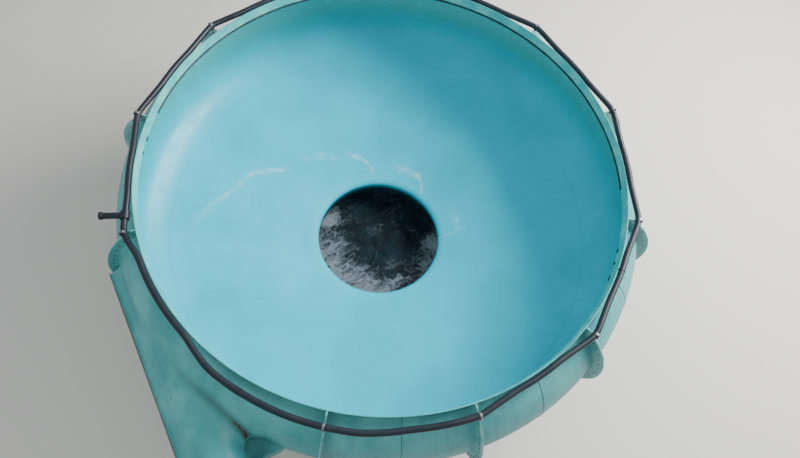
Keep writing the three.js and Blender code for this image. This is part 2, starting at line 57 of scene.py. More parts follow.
def meshOf(name, points, faces, edges=()):
    mesh = bpy.data.meshes.new(name)
    mesh.from_pydata([tuple(map(float, p)) for p in points], list(edges), faces)
    mesh.update()
    return mesh


def shadeSoft(mesh, crease=32):
    # smooth, with a sharp edge where two faces meet at more than the crease angle
    work = bmesh.new()
    work.from_mesh(mesh)
    for face in work.faces:
        face.smooth = True
    for edge in work.edges:
        edge.smooth = len(edge.link_faces) == 2 and edge.calc_face_angle(pi) < radians(crease)
    work.to_mesh(mesh)
    work.free()
    return mesh


def joinMeshes(name, meshes):
    # one mesh of several closed bodies, with the attributes and materials that they have in common
    pieces = [newPiece(name + "Part", mesh) for mesh in meshes]
    with bpy.context.temp_override(active_object=pieces[0], selected_editable_objects=pieces):
        bpy.ops.object.join()
    mesh = pieces[0].data
    bpy.data.objects.remove(pieces[0])
    mesh.name = name
    return mesh


def shift(*place):
    return Matrix.Translation(place)


def turn(degrees, axis="Z"):
    return Matrix.Rotation(radians(degrees), 4, axis)


def moved(mesh, matrix):
    mesh.transform(matrix)
    return mesh


def standing(x, thickness, z):
    # sets an outline of X and Y upright, with the middle of its thickness on the plane of X and Z
    return shift(x, thickness / 2, z) @ turn(90, "X")


def onCircle(radius, angle, height):
    return radius * cos(angle), radius * sin(angle), height


def arc(middle, radius, angles):
    return [(middle[0] + radius * cos(a), middle[1] + radius * sin(a)) for a in angles]


def sweepRound(name, stations, insideFrom=None, wear=None):
    # a closed body from outlines of radius and height, counter-clockwise, at angles round the bowl's axis
    size, last = len(stations[0][1]), len(stations) - 1
    points = [onCircle(r, radians(angle), z) for angle, outline in stations for r, z in outline]
    corners = [(s * size + j, s * size + (j + 1) % size) for s in range(last) for j in range(size)]
    faces = [(here, here + size, beyond + size, beyond) for here, beyond in corners]
    faces += [tuple(range(size)), tuple(last * size + j for j in reversed(range(size)))]
    mesh = meshOf(name, points, faces)
    if insideFrom is not None:
        isInside = [insideFrom <= j < size - 1 for _ in range(last) for j in range(size)] + [False, False]
        mesh.attributes.new("inFace", "BOOLEAN", "FACE").data.foreach_set("value", isInside)
    if wear is not None:
        mesh.attributes.new("edgeWearAndHighlight", "FLOAT", "POINT").data.foreach_set("value", np.ravel(wear))
    return shadeSoft(mesh)


def ringOf(name, outline, sides, crease=32):
    # a closed ring from an outline of radius and height, counter-clockwise
    size = len(outline)
    points = [onCircle(r, 2 * pi * s / sides, z) for s in range(sides) for r, z in outline]
    faces = []
    for s in range(sides):
        here, there = s * size, ((s + 1) % sides) * size
        faces += [(here + j, there + j, there + (j + 1) % size, here + (j + 1) % size) for j in range(size)]
    return shadeSoft(meshOf(name, points, faces), crease)


def turnedSolid(name, outline, sides):
    # a round body on Z from an outline of radius and height that ends flat at both ends
    points = [onCircle(r, 2 * pi * k / sides, z) for r, z in outline for k in range(sides)]
    end = (len(outline) - 1) * sides
    corners = [(row + k, row + (k + 1) % sides) for row in range(0, end, sides) for k in range(sides)]
    faces = [(a, b, b + sides, a + sides) for a, b in corners]
    return meshOf(name, points, faces + [tuple(reversed(range(sides))), tuple(range(end, end + sides))])


def tubeAlong(name, radius, length, sides=32, inner=None, rounding=0.004):
    # a bar or a pipe on Z from 0, with rounded ends
    end = radius - rounding
    outer = [(end, 0), (radius, rounding), (radius, length - rounding), (end, length)]
    if inner is None:
        return shadeSoft(turnedSolid(name, outer, sides))
    return ringOf(name, outer + [(inner, length), (inner, 0)], sides)


def prism(name, outline, depth, bevel=0.0):
    # an outline in X and Y, counter-clockwise, raised along Z from 0, with rounded edges
    size = len(outline)
    points = [(x, y, 0) for x, y in outline] + [(x, y, depth) for x, y in outline]
    faces = [tuple(reversed(range(size))), tuple(range(size, 2 * size))]
    faces += [(j, (j + 1) % size, size + (j + 1) % size, size + j) for j in range(size)]
    mesh = meshOf(name, points, faces)
    if bevel:
        work = bmesh.new()
        work.from_mesh(mesh)
        edges = [e for e in work.edges if e.calc_face_angle(0) > radians(40)]
        bmesh.ops.bevel(work, geom=edges, offset=bevel, segments=2, profile=0.6, affect="EDGES")
        work.to_mesh(mesh)
        work.free()
    return shadeSoft(mesh)


def boxOf(name, low, high, bevel=0.003):
    (x0, y0, z0), (x1, y1, z1) = low, high
    return moved(prism(name, [(x0, y0), (x1, y0), (x1, y1), (x0, y1)], z1 - z0, bevel), shift(0, 0, z0))


# Setting pieces on the frame
def settle(piece, slotName, *nodes):
    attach(piece, "root")
    if nodes:
        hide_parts(*nodes)


def addPiece(name, mesh, finish, slotName, *nodes):
    mesh.materials.append(finishes[finish])
    settle(newPiece(name, mesh), slotName, *nodes)


def addCopies(name, mesh, finish, slotName, nodes, first, step, count, insideFinish=None):
    # copies round the bowl, as one piece
    piece = newPiece(name, mesh)
    runTree(piece, turnedCopies, firstAngle=first, step=step, count=count, finish=finishes[finish],
            insideFinish=finishes[insideFinish or finish])
    settle(piece, slotName, *nodes)


def numbered(stem, count):
    return [f"{stem}_{k}" for k in range(1, count + 1)]


# Node trees
class Wire:
    # what a node gives out; sums with it add nodes to its tree
    def __init__(self, tree, socket):
        self.tree, self.socket = tree, socket

    def reckoned(self, operation, *others):
        return wireOf(self.tree, "ShaderNodeMath", dict(enumerate((self, *others))), operation=operation)

    def __add__(self, other):
        return self.reckoned("ADD", other)

    def __sub__(self, other):
        return self.reckoned("SUBTRACT", other)

    def __rsub__(self, other):
        return wireOf(self.tree, "ShaderNodeMath", {0: other, 1: self}, operation="SUBTRACT")

    def __mul__(self, other):
        return self.reckoned("MULTIPLY", other)

    def __truediv__(self, other):
        return self.reckoned("DIVIDE", other)

    def __mod__(self, other):
        return self.reckoned("MODULO", other)

    def __abs__(self):
        return self.reckoned("ABSOLUTE")

    def ranged(self, low, high, toLow=0.0, toHigh=1.0):
        return wireOf(self.tree, "ShaderNodeMapRange", {
            "Value": self, "From Min": low, "From Max": high, "To Min": toLow, "To Max": toHigh,
        }, interpolation_type="SMOOTHSTEP")


def addNode(tree, kind, links=None, **settings):
    # links gives, for each input by name or number, a value or the output that it takes
    node = tree.nodes.new(kind)
    for key, value in settings.items():
        setattr(node, key, value)
    for key, value in (links or {}).items():
        value = getattr(value, "socket", value)
        if isinstance(value, bpy.types.NodeSocket):
            tree.links.new(value, node.inputs[key])
        else:
            node.inputs[key].default_value = value
    return node


def wireOf(tree, kind, links=None, out=0, **settings):
    return Wire(tree, addNode(tree, kind, links, **settings).outputs[out])


def newTree(name, *inputs):
    # inputs are written as "Label: Kind"
    tree = bpy.data.node_groups.new(name, "GeometryNodeTree")
    tree.interface.new_socket("Geometry", in_out="OUTPUT", socket_type="NodeSocketGeometry")
    for text in ("Geometry: Geometry", *inputs, "Finish: Material"):
        label, kind = text.split(": ")
        tree.interface.new_socket(label, in_out="INPUT", socket_type="NodeSocket" + kind)
    return tree, {s.name: Wire(tree, s) for s in addNode(tree, "NodeGroupInput").outputs if s.name}


def runTree(piece, tree, **values):
    # sets the tree's inputs by their identifiers, then keeps the result as a plain mesh
    modifier = piece.modifiers.new(tree.name, "NODES")
    modifier.node_group = tree
    wanted = {key.lower(): value for key, value in values.items()}
    for item in tree.interface.items_tree:
        label = item.name.replace(" ", "").lower()
        if item.in_out == "INPUT" and label in wanted:
            modifier[item.identifier] = wanted[label]
    keepResult(piece)
    piece.data.name = piece.name


def keepResult(piece):
    # a plain mesh in place of the modifiers
    graph = bpy.context.evaluated_depsgraph_get()
    mesh = bpy.data.meshes.new_from_object(piece.evaluated_get(graph))
    piece.modifiers.clear()
    piece.data = mesh


def turnedCopiesTree():
    # copies of a piece turned round the bowl's axis, with a second finish on the faces of inFace
    tree, given = newTree("turnedCopies", "First Angle: Float", "Step: Float", "Count: Int",
                          "Inside Finish: Material")
    points = wireOf(tree, "GeometryNodePoints", {"Count": given["Count"]})
    angle = wireOf(tree, "GeometryNodeInputIndex") * given["Step"] + given["First Angle"]
    rotation = wireOf(tree, "ShaderNodeCombineXYZ", {"Z": angle.reckoned("RADIANS")})
    copies = wireOf(tree, "GeometryNodeInstanceOnPoints", {
        "Points": points, "Instance": given["Geometry"], "Rotation": rotation})
    real = wireOf(tree, "GeometryNodeRealizeInstances", {0: copies})
    outside = wireOf(tree, "GeometryNodeSetMaterial", {"Geometry": real, "Material": given["Finish"]})
    inFace = wireOf(tree, "GeometryNodeInputNamedAttribute", {"Name": "inFace"}, data_type="BOOLEAN")
    inside = wireOf(tree, "GeometryNodeSetMaterial", {
        "Geometry": outside, "Selection": inFace, "Material": given["Inside Finish"]})
    addNode(tree, "NodeGroupOutput", {0: inside})
    return tree


def boltRowTree():
    # bolts with washers at even spacing along lines, each across its line's boltAxis
    tree, given = newTree("boltRow", "Spacing: Float", "Grip: Float", "Sink: Float", "Head Radius: Float",
                          "Head Height: Float", "Washer Radius: Float", "Washer Height: Float", "Nuts: Bool")
    curve = wireOf(tree, "GeometryNodeMeshToCurve", {0: given["Geometry"]})
    places = wireOf(tree, "GeometryNodeResampleCurve", {"Curve": curve, "Length": given["Spacing"]},
                    mode="LENGTH")
    axis = wireOf(tree, "GeometryNodeInputNamedAttribute", {"Name": "boltAxis"}, data_type="FLOAT_VECTOR")
    aim = wireOf(tree, "FunctionNodeAlignRotationToVector", {"Vector": axis}, axis="Z")
    face = given["Grip"] * 0.5
    head = addNode(tree, "GeometryNodeJoinGeometry")
    for sides, radius, height, foot in (
        (12, given["Washer Radius"], given["Washer Height"], face),
        (6, given["Head Radius"], given["Head Height"], face + given["Washer Height"]),
    ):
        depth = height + given["Sink"]
        disc = wireOf(tree, "GeometryNodeMeshCylinder", {"Vertices": sides, "Radius": radius, "Depth": depth})
        place = wireOf(tree, "ShaderNodeCombineXYZ", {"Z": foot + height - depth * 0.5})
        part = addNode(tree, "GeometryNodeTransform", {"Geometry": disc, "Translation": place})
        tree.links.new(part.outputs[0], head.inputs[0])
    nut = wireOf(tree, "GeometryNodeTransform", {"Geometry": head.outputs[0], "Rotation": (pi, 0, 0.35)})
    chosen = addNode(tree, "GeometryNodeSwitch", {"Switch": given["Nuts"], "True": nut},
                     input_type="GEOMETRY")
    bolt = addNode(tree, "GeometryNodeJoinGeometry")
    for part in (head, chosen):
        tree.links.new(part.outputs[0], bolt.inputs[0])
    row = wireOf(tree, "GeometryNodeInstanceOnPoints", {
        "Points": places, "Instance": bolt.outputs[0], "Rotation": aim})
    real = wireOf(tree, "GeometryNodeRealizeInstances", {0: row})
    done = wireOf(tree, "GeometryNodeSetMaterial", {"Geometry": real, "Material": given["Finish"]})
    addNode(tree, "NodeGroupOutput", {0: done})
    return tree


def sealantBeadTree():
    # a bead of sealant round the bowl, thicker in places
    tree, given = newTree("sealantBead", "Bead Radius: Float", "Unevenness: Float", "Lump Size: Float",
                          "Seed: Float")
    curve = wireOf(tree, "GeometryNodeMeshToCurve", {0: given["Geometry"]})
    scale = wireOf(tree, "ShaderNodeMath", {0: 1.0, 1: given["Lump Size"]}, operation="DIVIDE")
    noise = wireOf(tree, "ShaderNodeTexNoise", {"W": given["Seed"], "Scale": scale, "Detail": 3.0},
                   noise_dimensions="4D")
    swing = wireOf(tree, "ShaderNodeMapRange", {"Value": noise, "From Min": 0.3, "From Max": 0.75})
    size = (swing * given["Unevenness"] + 1.0) * given["Bead Radius"]
    section = wireOf(tree, "GeometryNodeCurvePrimitiveCircle", {"Resolution": 8, "Radius": 1.0})
    mesh = wireOf(tree, "GeometryNodeCurveToMesh", {
        "Curve": curve, "Profile Curve": section, "Scale": size, "Fill Caps": True})
    real = wireOf(tree, "GeometryNodeRealizeInstances", {0: mesh})
    smooth = wireOf(tree, "GeometryNodeSetShadeSmooth", {0: real})
    done = wireOf(tree, "GeometryNodeSetMaterial", {"Geometry": smooth, "Material": given["Finish"]})
    addNode(tree, "NodeGroupOutput", {0: done})
    return tree


# Finishes
def linear(hexColour):
    parts = [int(hexColour[k:k + 2], 16) / 255 for k in (1, 3, 5)]
    return tuple(p / 12.92 if p <= 0.04045 else ((p + 0.055) / 1.055) ** 2.4 for p in parts) + (1.0,)


def newFinish(name, **values):
    # a material with its shader; uniform values sit on the shader's own sockets
    material = bpy.data.materials.new(name)
    material.use_nodes = True
    tree = material.node_tree
    tree.nodes.clear()
    shader = addNode(tree, "ShaderNodeBsdfPrincipled", {
        {"ior": "IOR"}.get(key, key.capitalize()): value for key, value in values.items()})
    addNode(tree, "ShaderNodeOutputMaterial", {0: shader.outputs[0]})
    return material


def dressed(material, colour, rough, relief, strength, depth):
    tree = material.node_tree
    bump = addNode(tree, "ShaderNodeBump", {"Height": relief, "Strength": strength, "Distance": depth})
    inputs = tree.nodes["Principled BSDF"].inputs
    tree.links.new(colour.socket, inputs["Base Color"])
    tree.links.new(rough.socket, inputs["Roughness"])
    tree.links.new(bump.outputs[0], inputs["Normal"])
    return material


def mixColour(factor, first, second):
    # each of the two is a colour in hex or a wire
    first, second = (linear(c) if isinstance(c, str) else c for c in (first, second))
    return wireOf(factor.tree, "ShaderNodeMix", {0: factor, 6: first, 7: second}, 2, data_type="RGBA")


def noiseOf(place, size, detail=3.0, roughness=0.55):
    # size is the width of one blot in metres
    return wireOf(place.tree, "ShaderNodeTexNoise", {
        "Vector": place, "Scale": 1 / size, "Detail": detail, "Roughness": roughness})


def streaksOf(direction, radius, along, width, length, detail=4.0):
    # noise that is narrow round the bowl and drawn out down its slope
    tree = direction.tree
    wide = wireOf(tree, "ShaderNodeVectorMath", {0: direction, 1: (radius,) * 3}, operation="MULTIPLY")
    lift = wireOf(tree, "ShaderNodeCombineXYZ", {"Z": along * (width / length)})
    return noiseOf(wireOf(tree, "ShaderNodeVectorMath", {0: wide, 1: lift}, operation="ADD"), width, detail)


def placeOf(tree):
    return wireOf(tree, "ShaderNodeTexCoord", out="Object")


def polarOf(material):
    # object coordinates, radius, angle in degrees from 0 to 360, height, and the direction away from the axis
    tree = material.node_tree
    place = placeOf(tree)
    x, y, height = (wireOf(tree, "ShaderNodeSeparateXYZ", {0: place}, k) for k in range(3))
    flat = wireOf(tree, "ShaderNodeCombineXYZ", {"X": x, "Y": y})
    radius = wireOf(tree, "ShaderNodeVectorMath", {0: flat}, "Value", operation="LENGTH")
    degrees = (y.reckoned("ARCTAN2", x).reckoned("DEGREES") + 360.0) % 360.0
    direction = wireOf(tree, "ShaderNodeVectorMath", {0: flat}, operation="NORMALIZE")
    return place, radius, degrees, height, direction


def curveOf(value, spots):
    # a smooth curve through spots, whose first numbers run from 0 to 1
    node = addNode(value.tree, "ShaderNodeFloatCurve", {"Value": value})
    curve = node.mapping.curves[0]
    curve.points[0].location, curve.points[1].location = spots[0], spots[-1]
    for spot in spots[1:-1]:
        curve.points.new(*spot)
    node.mapping.update()
    return Wire(value.tree, node.outputs[0])


# Gelcoat sprayed in a polished mould, inside of the bowl: hard, smooth and glossy, so that it shows soft wide
# highlights; years of running water leave faint streaks down the slope and a duller floor. The wall is
# painted darker than the floor (painted shade), paler under the rim (painted light) and dark down into the
# hole (painted shade).
insideLook = dict(
    base="#01c0da", deep="#01b5cd", pale="#3fd8ea", upper="#128a82", top="#6fbfb8",
    foam="#bfe6ea", seam="#127484",
    neck="#07262c", streakWidth=0.16, streakLength=2.4, blotSize=1.4, seamRadius=4.25, seamWidth=0.03,
    seamStrength=0.1, markWidth=0.03, markLength=0.5, markFrom=3.3, markTo=4.0, waveSize=0.18, wornSize=0.25,
)
foamLook = dict(halfWidth=0.2, wander=0.22, wispsAlong=0.22, wispsAcross=9.0, grainSize=0.035, grain=0.3,
                patchSize=0.3, strength=0.8, widest=5.0)
# Trails of foam that close in on the hole: the angle, the radius and how dense the foam is
foamTrails = (
    ((105, 1.5, 0.9), (108, 1.65, 1.0), (113, 1.85, 1.0), (120, 2.0, 0.6), (126, 2.07, 0.1),
     (132, 2.14, 0.35), (141, 2.3, 0.5), (149, 2.42, 0.05), (156, 2.5, 0.6), (160, 2.65, 0.8),
     (167, 2.95, 0.75), (177, 3.23, 0.55), (184, 3.44, 0.7), (191, 3.73, 0.5), (200, 4.07, 0.35)),
    ((58, 0.95, 0.8), (59, 1.2, 0.8), (61, 1.47, 0.9), (66, 1.62, 1.0), (78, 1.69, 0.8), (92, 1.68, 0.4)),
    ((10, 1.1, 0.8), (11, 1.3, 0.8), (14, 1.6, 0.7), (24, 1.73, 0.55), (38, 1.62, 0.2)),
)


def foamTrail(trail, place, radius, degrees):
    # thin wisps along the trail, torn by noise that is drawn out along it
    look, first, last = foamLook, trail[0][0], trail[-1][0]
    share = (degrees - first) / (last - first)
    course = curveOf(share, [((a - first) / (last - first), r / look["widest"]) for a, r, _ in trail])
    density = curveOf(share, [((a - first) / (last - first), d) for a, _, d in trail])
    wander = (noiseOf(place, look["wander"]) - 0.5) * look["wander"]
    across = radius + wander - course * look["widest"]
    band = abs(across).ranged(look["halfWidth"], 0.0)
    drawn = wireOf(place.tree, "ShaderNodeCombineXYZ", {
        "X": degrees * look["wispsAlong"], "Y": across * look["wispsAcross"]})
    wisps = wireOf(place.tree, "ShaderNodeTexNoise", {
        "Vector": drawn, "Scale": 1.5, "Detail": 9.0, "Roughness": 0.76, "Distortion": 1.2})
    torn = band * 0.2 + wisps + noiseOf(place, look["grainSize"], 4.0, 0.7) * look["grain"]
    there = share.ranged(-0.02, 0.02) * share.ranged(1.02, 0.9) * band.reckoned("GREATER_THAN", 0.001)
    there *= noiseOf(place, look["patchSize"], 2.0).ranged(0.38, 0.56, 0.5, 1.0)
    return torn.ranged(0.74, 1.0) * there * density


def insideGelcoat():
    look, rim = insideLook, bowl["rimRadius"]
    material = newFinish("turquoiseGelcoat", roughness=0.24, ior=1.31)
    place, radius, degrees, height, direction = polarOf(material)
    streaks = streaksOf(direction, rim, radius + height, look["streakWidth"], look["streakLength"])
    colour = mixColour(noiseOf(place, look["blotSize"], 2.0).ranged(0.35, 0.7), look["base"], look["deep"])
    # painted shade: the steep wall is darker and greener than the floor
    colour = mixColour(height.ranged(2.6, 3.8, 0.0, 0.88), colour, look["upper"])
    # painted light: paler towards the rim, where the overhanging wall faces down into shade
    colour = mixColour(height.ranged(3.15, 4.1, 0.0, 0.72), colour, look["top"])
    colour = mixColour(streaks.ranged(0.5, 0.8) * 0.1, colour, look["pale"])
    # rain has left thin pale marks under the rim
    marks = streaksOf(direction, rim, height, look["markWidth"], look["markLength"], 2.0).ranged(0.6, 0.78)
    marks *= height.ranged(look["markFrom"], look["markTo"], 0.0, 0.5)
    colour = mixColour(marks, colour, look["pale"])
    seam = abs(radius - look["seamRadius"]).ranged(look["seamWidth"], look["seamWidth"] * 0.3)
    seam = seam * height.ranged(3.3, 3.1) * look["seamStrength"]
    colour = mixColour(seam, colour, look["seam"])
    # painted shade: darker where the lip turns down into the hole
    colour = mixColour(height.ranged(1.93, 1.62, 0.0, 0.97), colour, look["neck"])
    # thin foam of the running water, on the floor only
    foam, *others = [foamTrail(trail, place, radius, degrees) for trail in foamTrails]
    for other in others:
        foam = foam.reckoned("MAXIMUM", other)
    foam = foam * height.ranged(2.9, 2.7) * foamLook["strength"]
    colour = mixColour(foam, colour, look["foam"])
    rough = noiseOf(place, look["wornSize"], 4.0).ranged(0.3, 0.75, 0.2, 0.36)
    rough = rough + foam * 0.3 + radius.ranged(1.6, 1.42, 0.0, 0.25)
    # hand-laid laminate waves slightly under the gelcoat
    waves = noiseOf(place, look["waveSize"], 2.0) * 0.5 + foam * 1.5 - seam
    return dressed(material, colour, rough, waves, 0.35, 0.004)


# The collar on top: the same gelcoat, chalked dull, with rain marks that start at its lip. Its paler colour
# is painted light, for the sky light that it catches where it leans outward.
collarLook = dict(base="#44adad", pale="#6fc9c1", marks="#23727a", lip="#38898c", markWidth=0.035,
                  markLength=0.35, blotSize=0.4, waveSize=0.1, lipFrom=4.785, lipTo=4.799)


def collarGelcoat():
    look = collarLook
    material = newFinish("paleTealGelcoat", roughness=0.4, ior=1.48)
    place, radius, degrees, height, direction = polarOf(material)
    marks = streaksOf(direction, bowl["rimRadius"], height, look["markWidth"], look["markLength"])
    blots = noiseOf(place, look["blotSize"])
    colour = mixColour(blots.ranged(0.35, 0.7), look["base"], look["pale"])
    colour = mixColour(marks.ranged(0.55, 0.8) * 0.5, colour, look["marks"])
    # painted shade: the round top of the lip is darker, to dim its highlight
    colour = mixColour(height.ranged(look["lipFrom"], look["lipTo"], 0.0, 0.6), colour, look["lip"])
    waves = noiseOf(place, look["waveSize"])
    return dressed(material, colour, blots.ranged(0.3, 0.7, 0.3, 0.48), waves, 0.3, 0.003)


# The outside of the same panels: gelcoat that sun and rain have chalked, so it is duller and greyer, with
# run-down dirt below every ledge, and flange edges painted pale: partly scuffs, partly a painted highlight.
outsideLook = dict(
    base="#38898d", faded="#56a09f", grime="#374b47", edge="#9cc6bf", lap="#16292b", crease="#3f3a30",
    film="#304745", edgeDirt="#565750", edgeFrom=-0.59, edgeWidth=0.03, runRadius=4.9, runWidth=0.05,
    runLength=0.9, fadeSize=0.7, speckSize=0.012, scuffSize=0.25, heapSize=0.1, waveSize=0.12, lapHalf=0.0035,
    lapReach=4.99, entryMiddle=240.0, entryHalf=30.0,
)


def outsideGelcoat():
    look = outsideLook
    material = newFinish("tealGelcoatWeathered", roughness=0.45, ior=1.42)
    place, radius, degrees, height, direction = polarOf(material)
    tree = material.node_tree

    def attribute(name, out):
        return wireOf(tree, "ShaderNodeAttribute", out=out, attribute_name=name)

    runs = streaksOf(direction, look["runRadius"], height, look["runWidth"], look["runLength"])
    fade, specks = noiseOf(place, look["fadeSize"]), noiseOf(place, look["speckSize"], 2.0)
    colour = mixColour(fade.ranged(0.35, 0.7), look["base"], look["faded"])
    # the entry panel has no lap and only faint run-down dirt
    plainWall = 1.0 - degrees.reckoned("COMPARE", look["entryMiddle"], look["entryHalf"])
    dirt = runs.ranged(0.5, 0.78) * height.ranged(4.5, 2.6, 0.25, 0.7) * (plainWall * 0.6 + 0.4)
    colour = mixColour(dirt, colour, look["grime"])
    colour = mixColour(specks.ranged(0.62, 0.75) * 0.35, colour, look["grime"])
    # pale flange edges: partly scuffs, partly a painted highlight where rib edges face the light
    scuffedAndLit = attribute("edgeWearAndHighlight", "Fac") * noiseOf(place, look["scuffSize"]).ranged(0.3, 0.7, 0.15, 0.6)
    colour = mixColour(scuffedAndLit, colour, look["edge"])
    # the lap line at mid-panel, where dirt sits in the step
    fromLap = abs(degrees % bowl["panelAngle"] - bowl["panelAngle"] / 2).reckoned("RADIANS") * radius
    lapLine = fromLap.ranged(look["lapHalf"] * 1.6, look["lapHalf"] * 0.6)
    lapLine = lapLine * radius.reckoned("LESS_THAN", look["lapReach"]) * plainWall
    colour = mixColour(lapLine, colour, look["lap"])
    # painted shade in the hollow between tube and wall, and earth and leaf dirt heaped at its end
    hollow = attribute("creaseShadeAndDirt", "Fac")
    colour = mixColour(hollow.ranged(0.0, 0.9) * 0.65, colour, look["film"])
    heap = noiseOf(place, look["heapSize"], 6.0).ranged(0.35, 0.6) * 0.45 + hollow
    colour = mixColour(heap.ranged(1.15, 1.35), colour, look["crease"])
    # the worn, dirty edge of the long fin; tubeSpot holds places in the tube's own frame
    sideways = wireOf(tree, "ShaderNodeSeparateXYZ", {0: attribute("tubeSpot", "Vector")}, "Y")
    edgeLine = sideways.ranged(look["edgeFrom"] + look["edgeWidth"], look["edgeFrom"])
    edgeLine *= noiseOf(place, 0.3, 4.0).ranged(0.25, 0.6, 0.5, 0.9)
    colour = mixColour(edgeLine, colour, look["edgeDirt"])
    relief = specks * 0.25 + noiseOf(place, look["waveSize"], 2.0)
    return dressed(material, colour, fade.ranged(0.3, 0.7, 0.36, 0.55), relief, 0.3, 0.003)


def simpleFinish(name, shades, size, rough, metallic=0.0, speck=0.01, depth=0.001, ior=1.5):
    # two shades in wide blots, a third in fine specks, and a light relief
    material = newFinish(name, metallic=metallic, ior=ior)
    place = placeOf(material.node_tree)
    blots, specks = noiseOf(place, size), noiseOf(place, speck)
    colour = mixColour(blots.ranged(0.35, 0.68), shades[0], shades[1])
    colour = mixColour(specks.ranged(0.58, 0.72), colour, shades[2])
    return dressed(material, colour, blots.ranged(0.3, 0.7, *rough), specks, 0.4, depth)


# Churned pool water in the shade: dark and glossy, with broken grey-white froth where the water falls.
waterLook = dict(deep="#04131b", pale="#0b232d", froth="#85919d", clear=(0.05, 0.45, 1.05), clearReach=0.8,
                 frothReach=1.9, swirlSize=0.45, frothSize=0.09, driftSize=0.6, patchSize=0.5)


def basinWaterFinish():
    look = waterLook
    material = newFinish("churnedWater", roughness=0.08, ior=1.2)
    tree = material.node_tree
    place = placeOf(tree)
    swirl = noiseOf(place, look["swirlSize"])
    bend = wireOf(tree, "ShaderNodeCombineXYZ", {"X": swirl, "Y": swirl})
    bent = wireOf(tree, "ShaderNodeVectorMath", {0: place, 1: bend}, operation="ADD")
    froth = noiseOf(bent, look["frothSize"], 10.0, 0.82)
    # the froth is pushed to the sides and clears in the middle and under the far lip
    away = wireOf(tree, "ShaderNodeVectorMath", {0: place, 1: look["clear"]}, "Value", operation="DISTANCE")
    away = noiseOf(place, look["driftSize"], 2.0) * 0.7 + away
    farSide = wireOf(tree, "ShaderNodeSeparateXYZ", {0: place}, "Y")
    spread = away.ranged(look["clearReach"], look["frothReach"]) * farSide.ranged(0.65, 1.05, 1.0, 0.1)
    patches = noiseOf(bent, look["patchSize"], 3.0, 0.6).ranged(0.35, 0.65, -0.06, 0.06)
    torn = spread * 0.17 + froth + patches
    foam = torn.ranged(0.52, 0.76) * spread.ranged(0.0, 0.8, 0.3, 0.95)
    colour = mixColour(swirl.ranged(0.35, 0.65), look["deep"], look["pale"])
    colour = mixColour(foam, colour, look["froth"])
    return dressed(material, colour, foam.ranged(0.0, 1.0, 0.08, 0.5), froth, 0.7, 0.03)


finishes = dict(
    inside=insideGelcoat(),
    outside=outsideGelcoat(),
    collar=collarGelcoat(),
    pipe=simpleFinish("greyPressurePipe", ("#161f29", "#1f262e", "#10151b"), 0.5, (0.38, 0.5), depth=0.0006,
                      ior=1.4),  # extruded plastic, dull and nearly even
    stainless=simpleFinish("brushedStainless", ("#8f9599", "#7d8488", "#6a7175"), 0.05, (0.4, 0.55), 1.0,
                           0.004, 0.0002),  # fine brushing, soft highlights
    steel=simpleFinish("greenPaintedSteel", ("#2c8a45", "#277c3e", "#3a9a55"), 0.35, (0.3, 0.45), speck=0.004,
                       depth=0.0005),  # sprayed paint with a light orange peel
    concrete=simpleFinish("paintedConcrete", ("#b9c4c3", "#a3b1b1", "#8c9797"), 0.6, (0.7, 0.9), speck=0.02,
                          depth=0.002),  # matt, blotched and pitted
    sealant=simpleFinish("darkSealant", ("#10181c", "#1b2a2f", "#0a0f12"), 0.2, (0.45, 0.6), speck=0.02,
                         depth=0.002),  # rubbery, with a dull sheen
    water=basinWaterFinish(),
)
turnedCopies = turnedCopiesTree()
boltRow = boltRowTree()
sealantBead = sealantBeadTree()
print("finishes and node trees made")


# Outline of the wall
def floorHeight(radius):
    return bowl["holeHeight"] + bowl["floorSlope"] * (radius - bowl["holeRadius"])


def onFloor(radius, drop=0.0):
    return radius, floorHeight(radius) - drop


def beside(points, distance):
    # the line moved sideways, to the right of its direction
    along = np.gradient(points, axis=0)
    along /= np.linalg.norm(along, axis=1)[:, None]
    sideways = np.column_stack([along[:, 1], -along[:, 0]])
    return points + sideways * np.broadcast_to(distance, len(points))[:, None]


def wallInside(count):
    # a bend from the floor to the widest place, then an arc in to the seam, with points at even spacing
    widest, centre = bowl["bulgeRadius"] - bowl["shell"], bowl["wallCentreRadius"]
    middle, start, pull = bowl["bulgeHeight"], bowl["bendStartRadius"], bowl["bendPull"]
    opening = acos((bowl["seamRadius"] - centre) / (widest - centre))
    rise = (bowl["seamHeight"] - middle) / sin(opening)
    corners = np.array([onFloor(start), onFloor(start + pull), (widest, middle - pull), (widest, middle)])
    t = np.linspace(0, 1, 240)[:, None]
    bend = ((1 - t) ** 3 * corners[0] + 3 * t * (1 - t) ** 2 * corners[1]
            + 3 * t ** 2 * (1 - t) * corners[2] + t ** 3 * corners[3])
    a = np.linspace(0, opening, 160)[1:]
    top = np.column_stack([centre + (widest - centre) * np.cos(a), middle + rise * np.sin(a)])
    line = np.vstack([[onFloor(bowl["floorJointRadius"])], bend, top])
    along = np.concatenate([[0], np.cumsum(np.linalg.norm(np.diff(line, axis=0), axis=1))])
    wanted = np.linspace(0, along[-1], count)
    return np.column_stack([np.interp(wanted, along, line[:, k]) for k in range(2)])


panel = dict(
    outlinePoints=46, turnStep=1.5, flangeAngle=0.16, ribHeight=0.197, ribFootHeight=0.07, ribTaper=0.45,
    ribTopRadius=4.492, ribTopDrop=0.003, ribFootSink=0.002, upstandHeight=0.045, upstandThickness=0.017,
    upstandOffset=0.0079, jointFlangeDepth=0.09, jointFlangeThickness=0.012, lapThickness=0.005,
    lapWidth=0.08, fillet=((0.02, 0.11), (0.05, 0.065), (0.1, 0.032), (0.18, 0.01), (0.28, 0.0)),
)
collar = dict(thickness=0.02, count=4, firstJoint=30.0, lip=0.01, seamGap=0.0004)

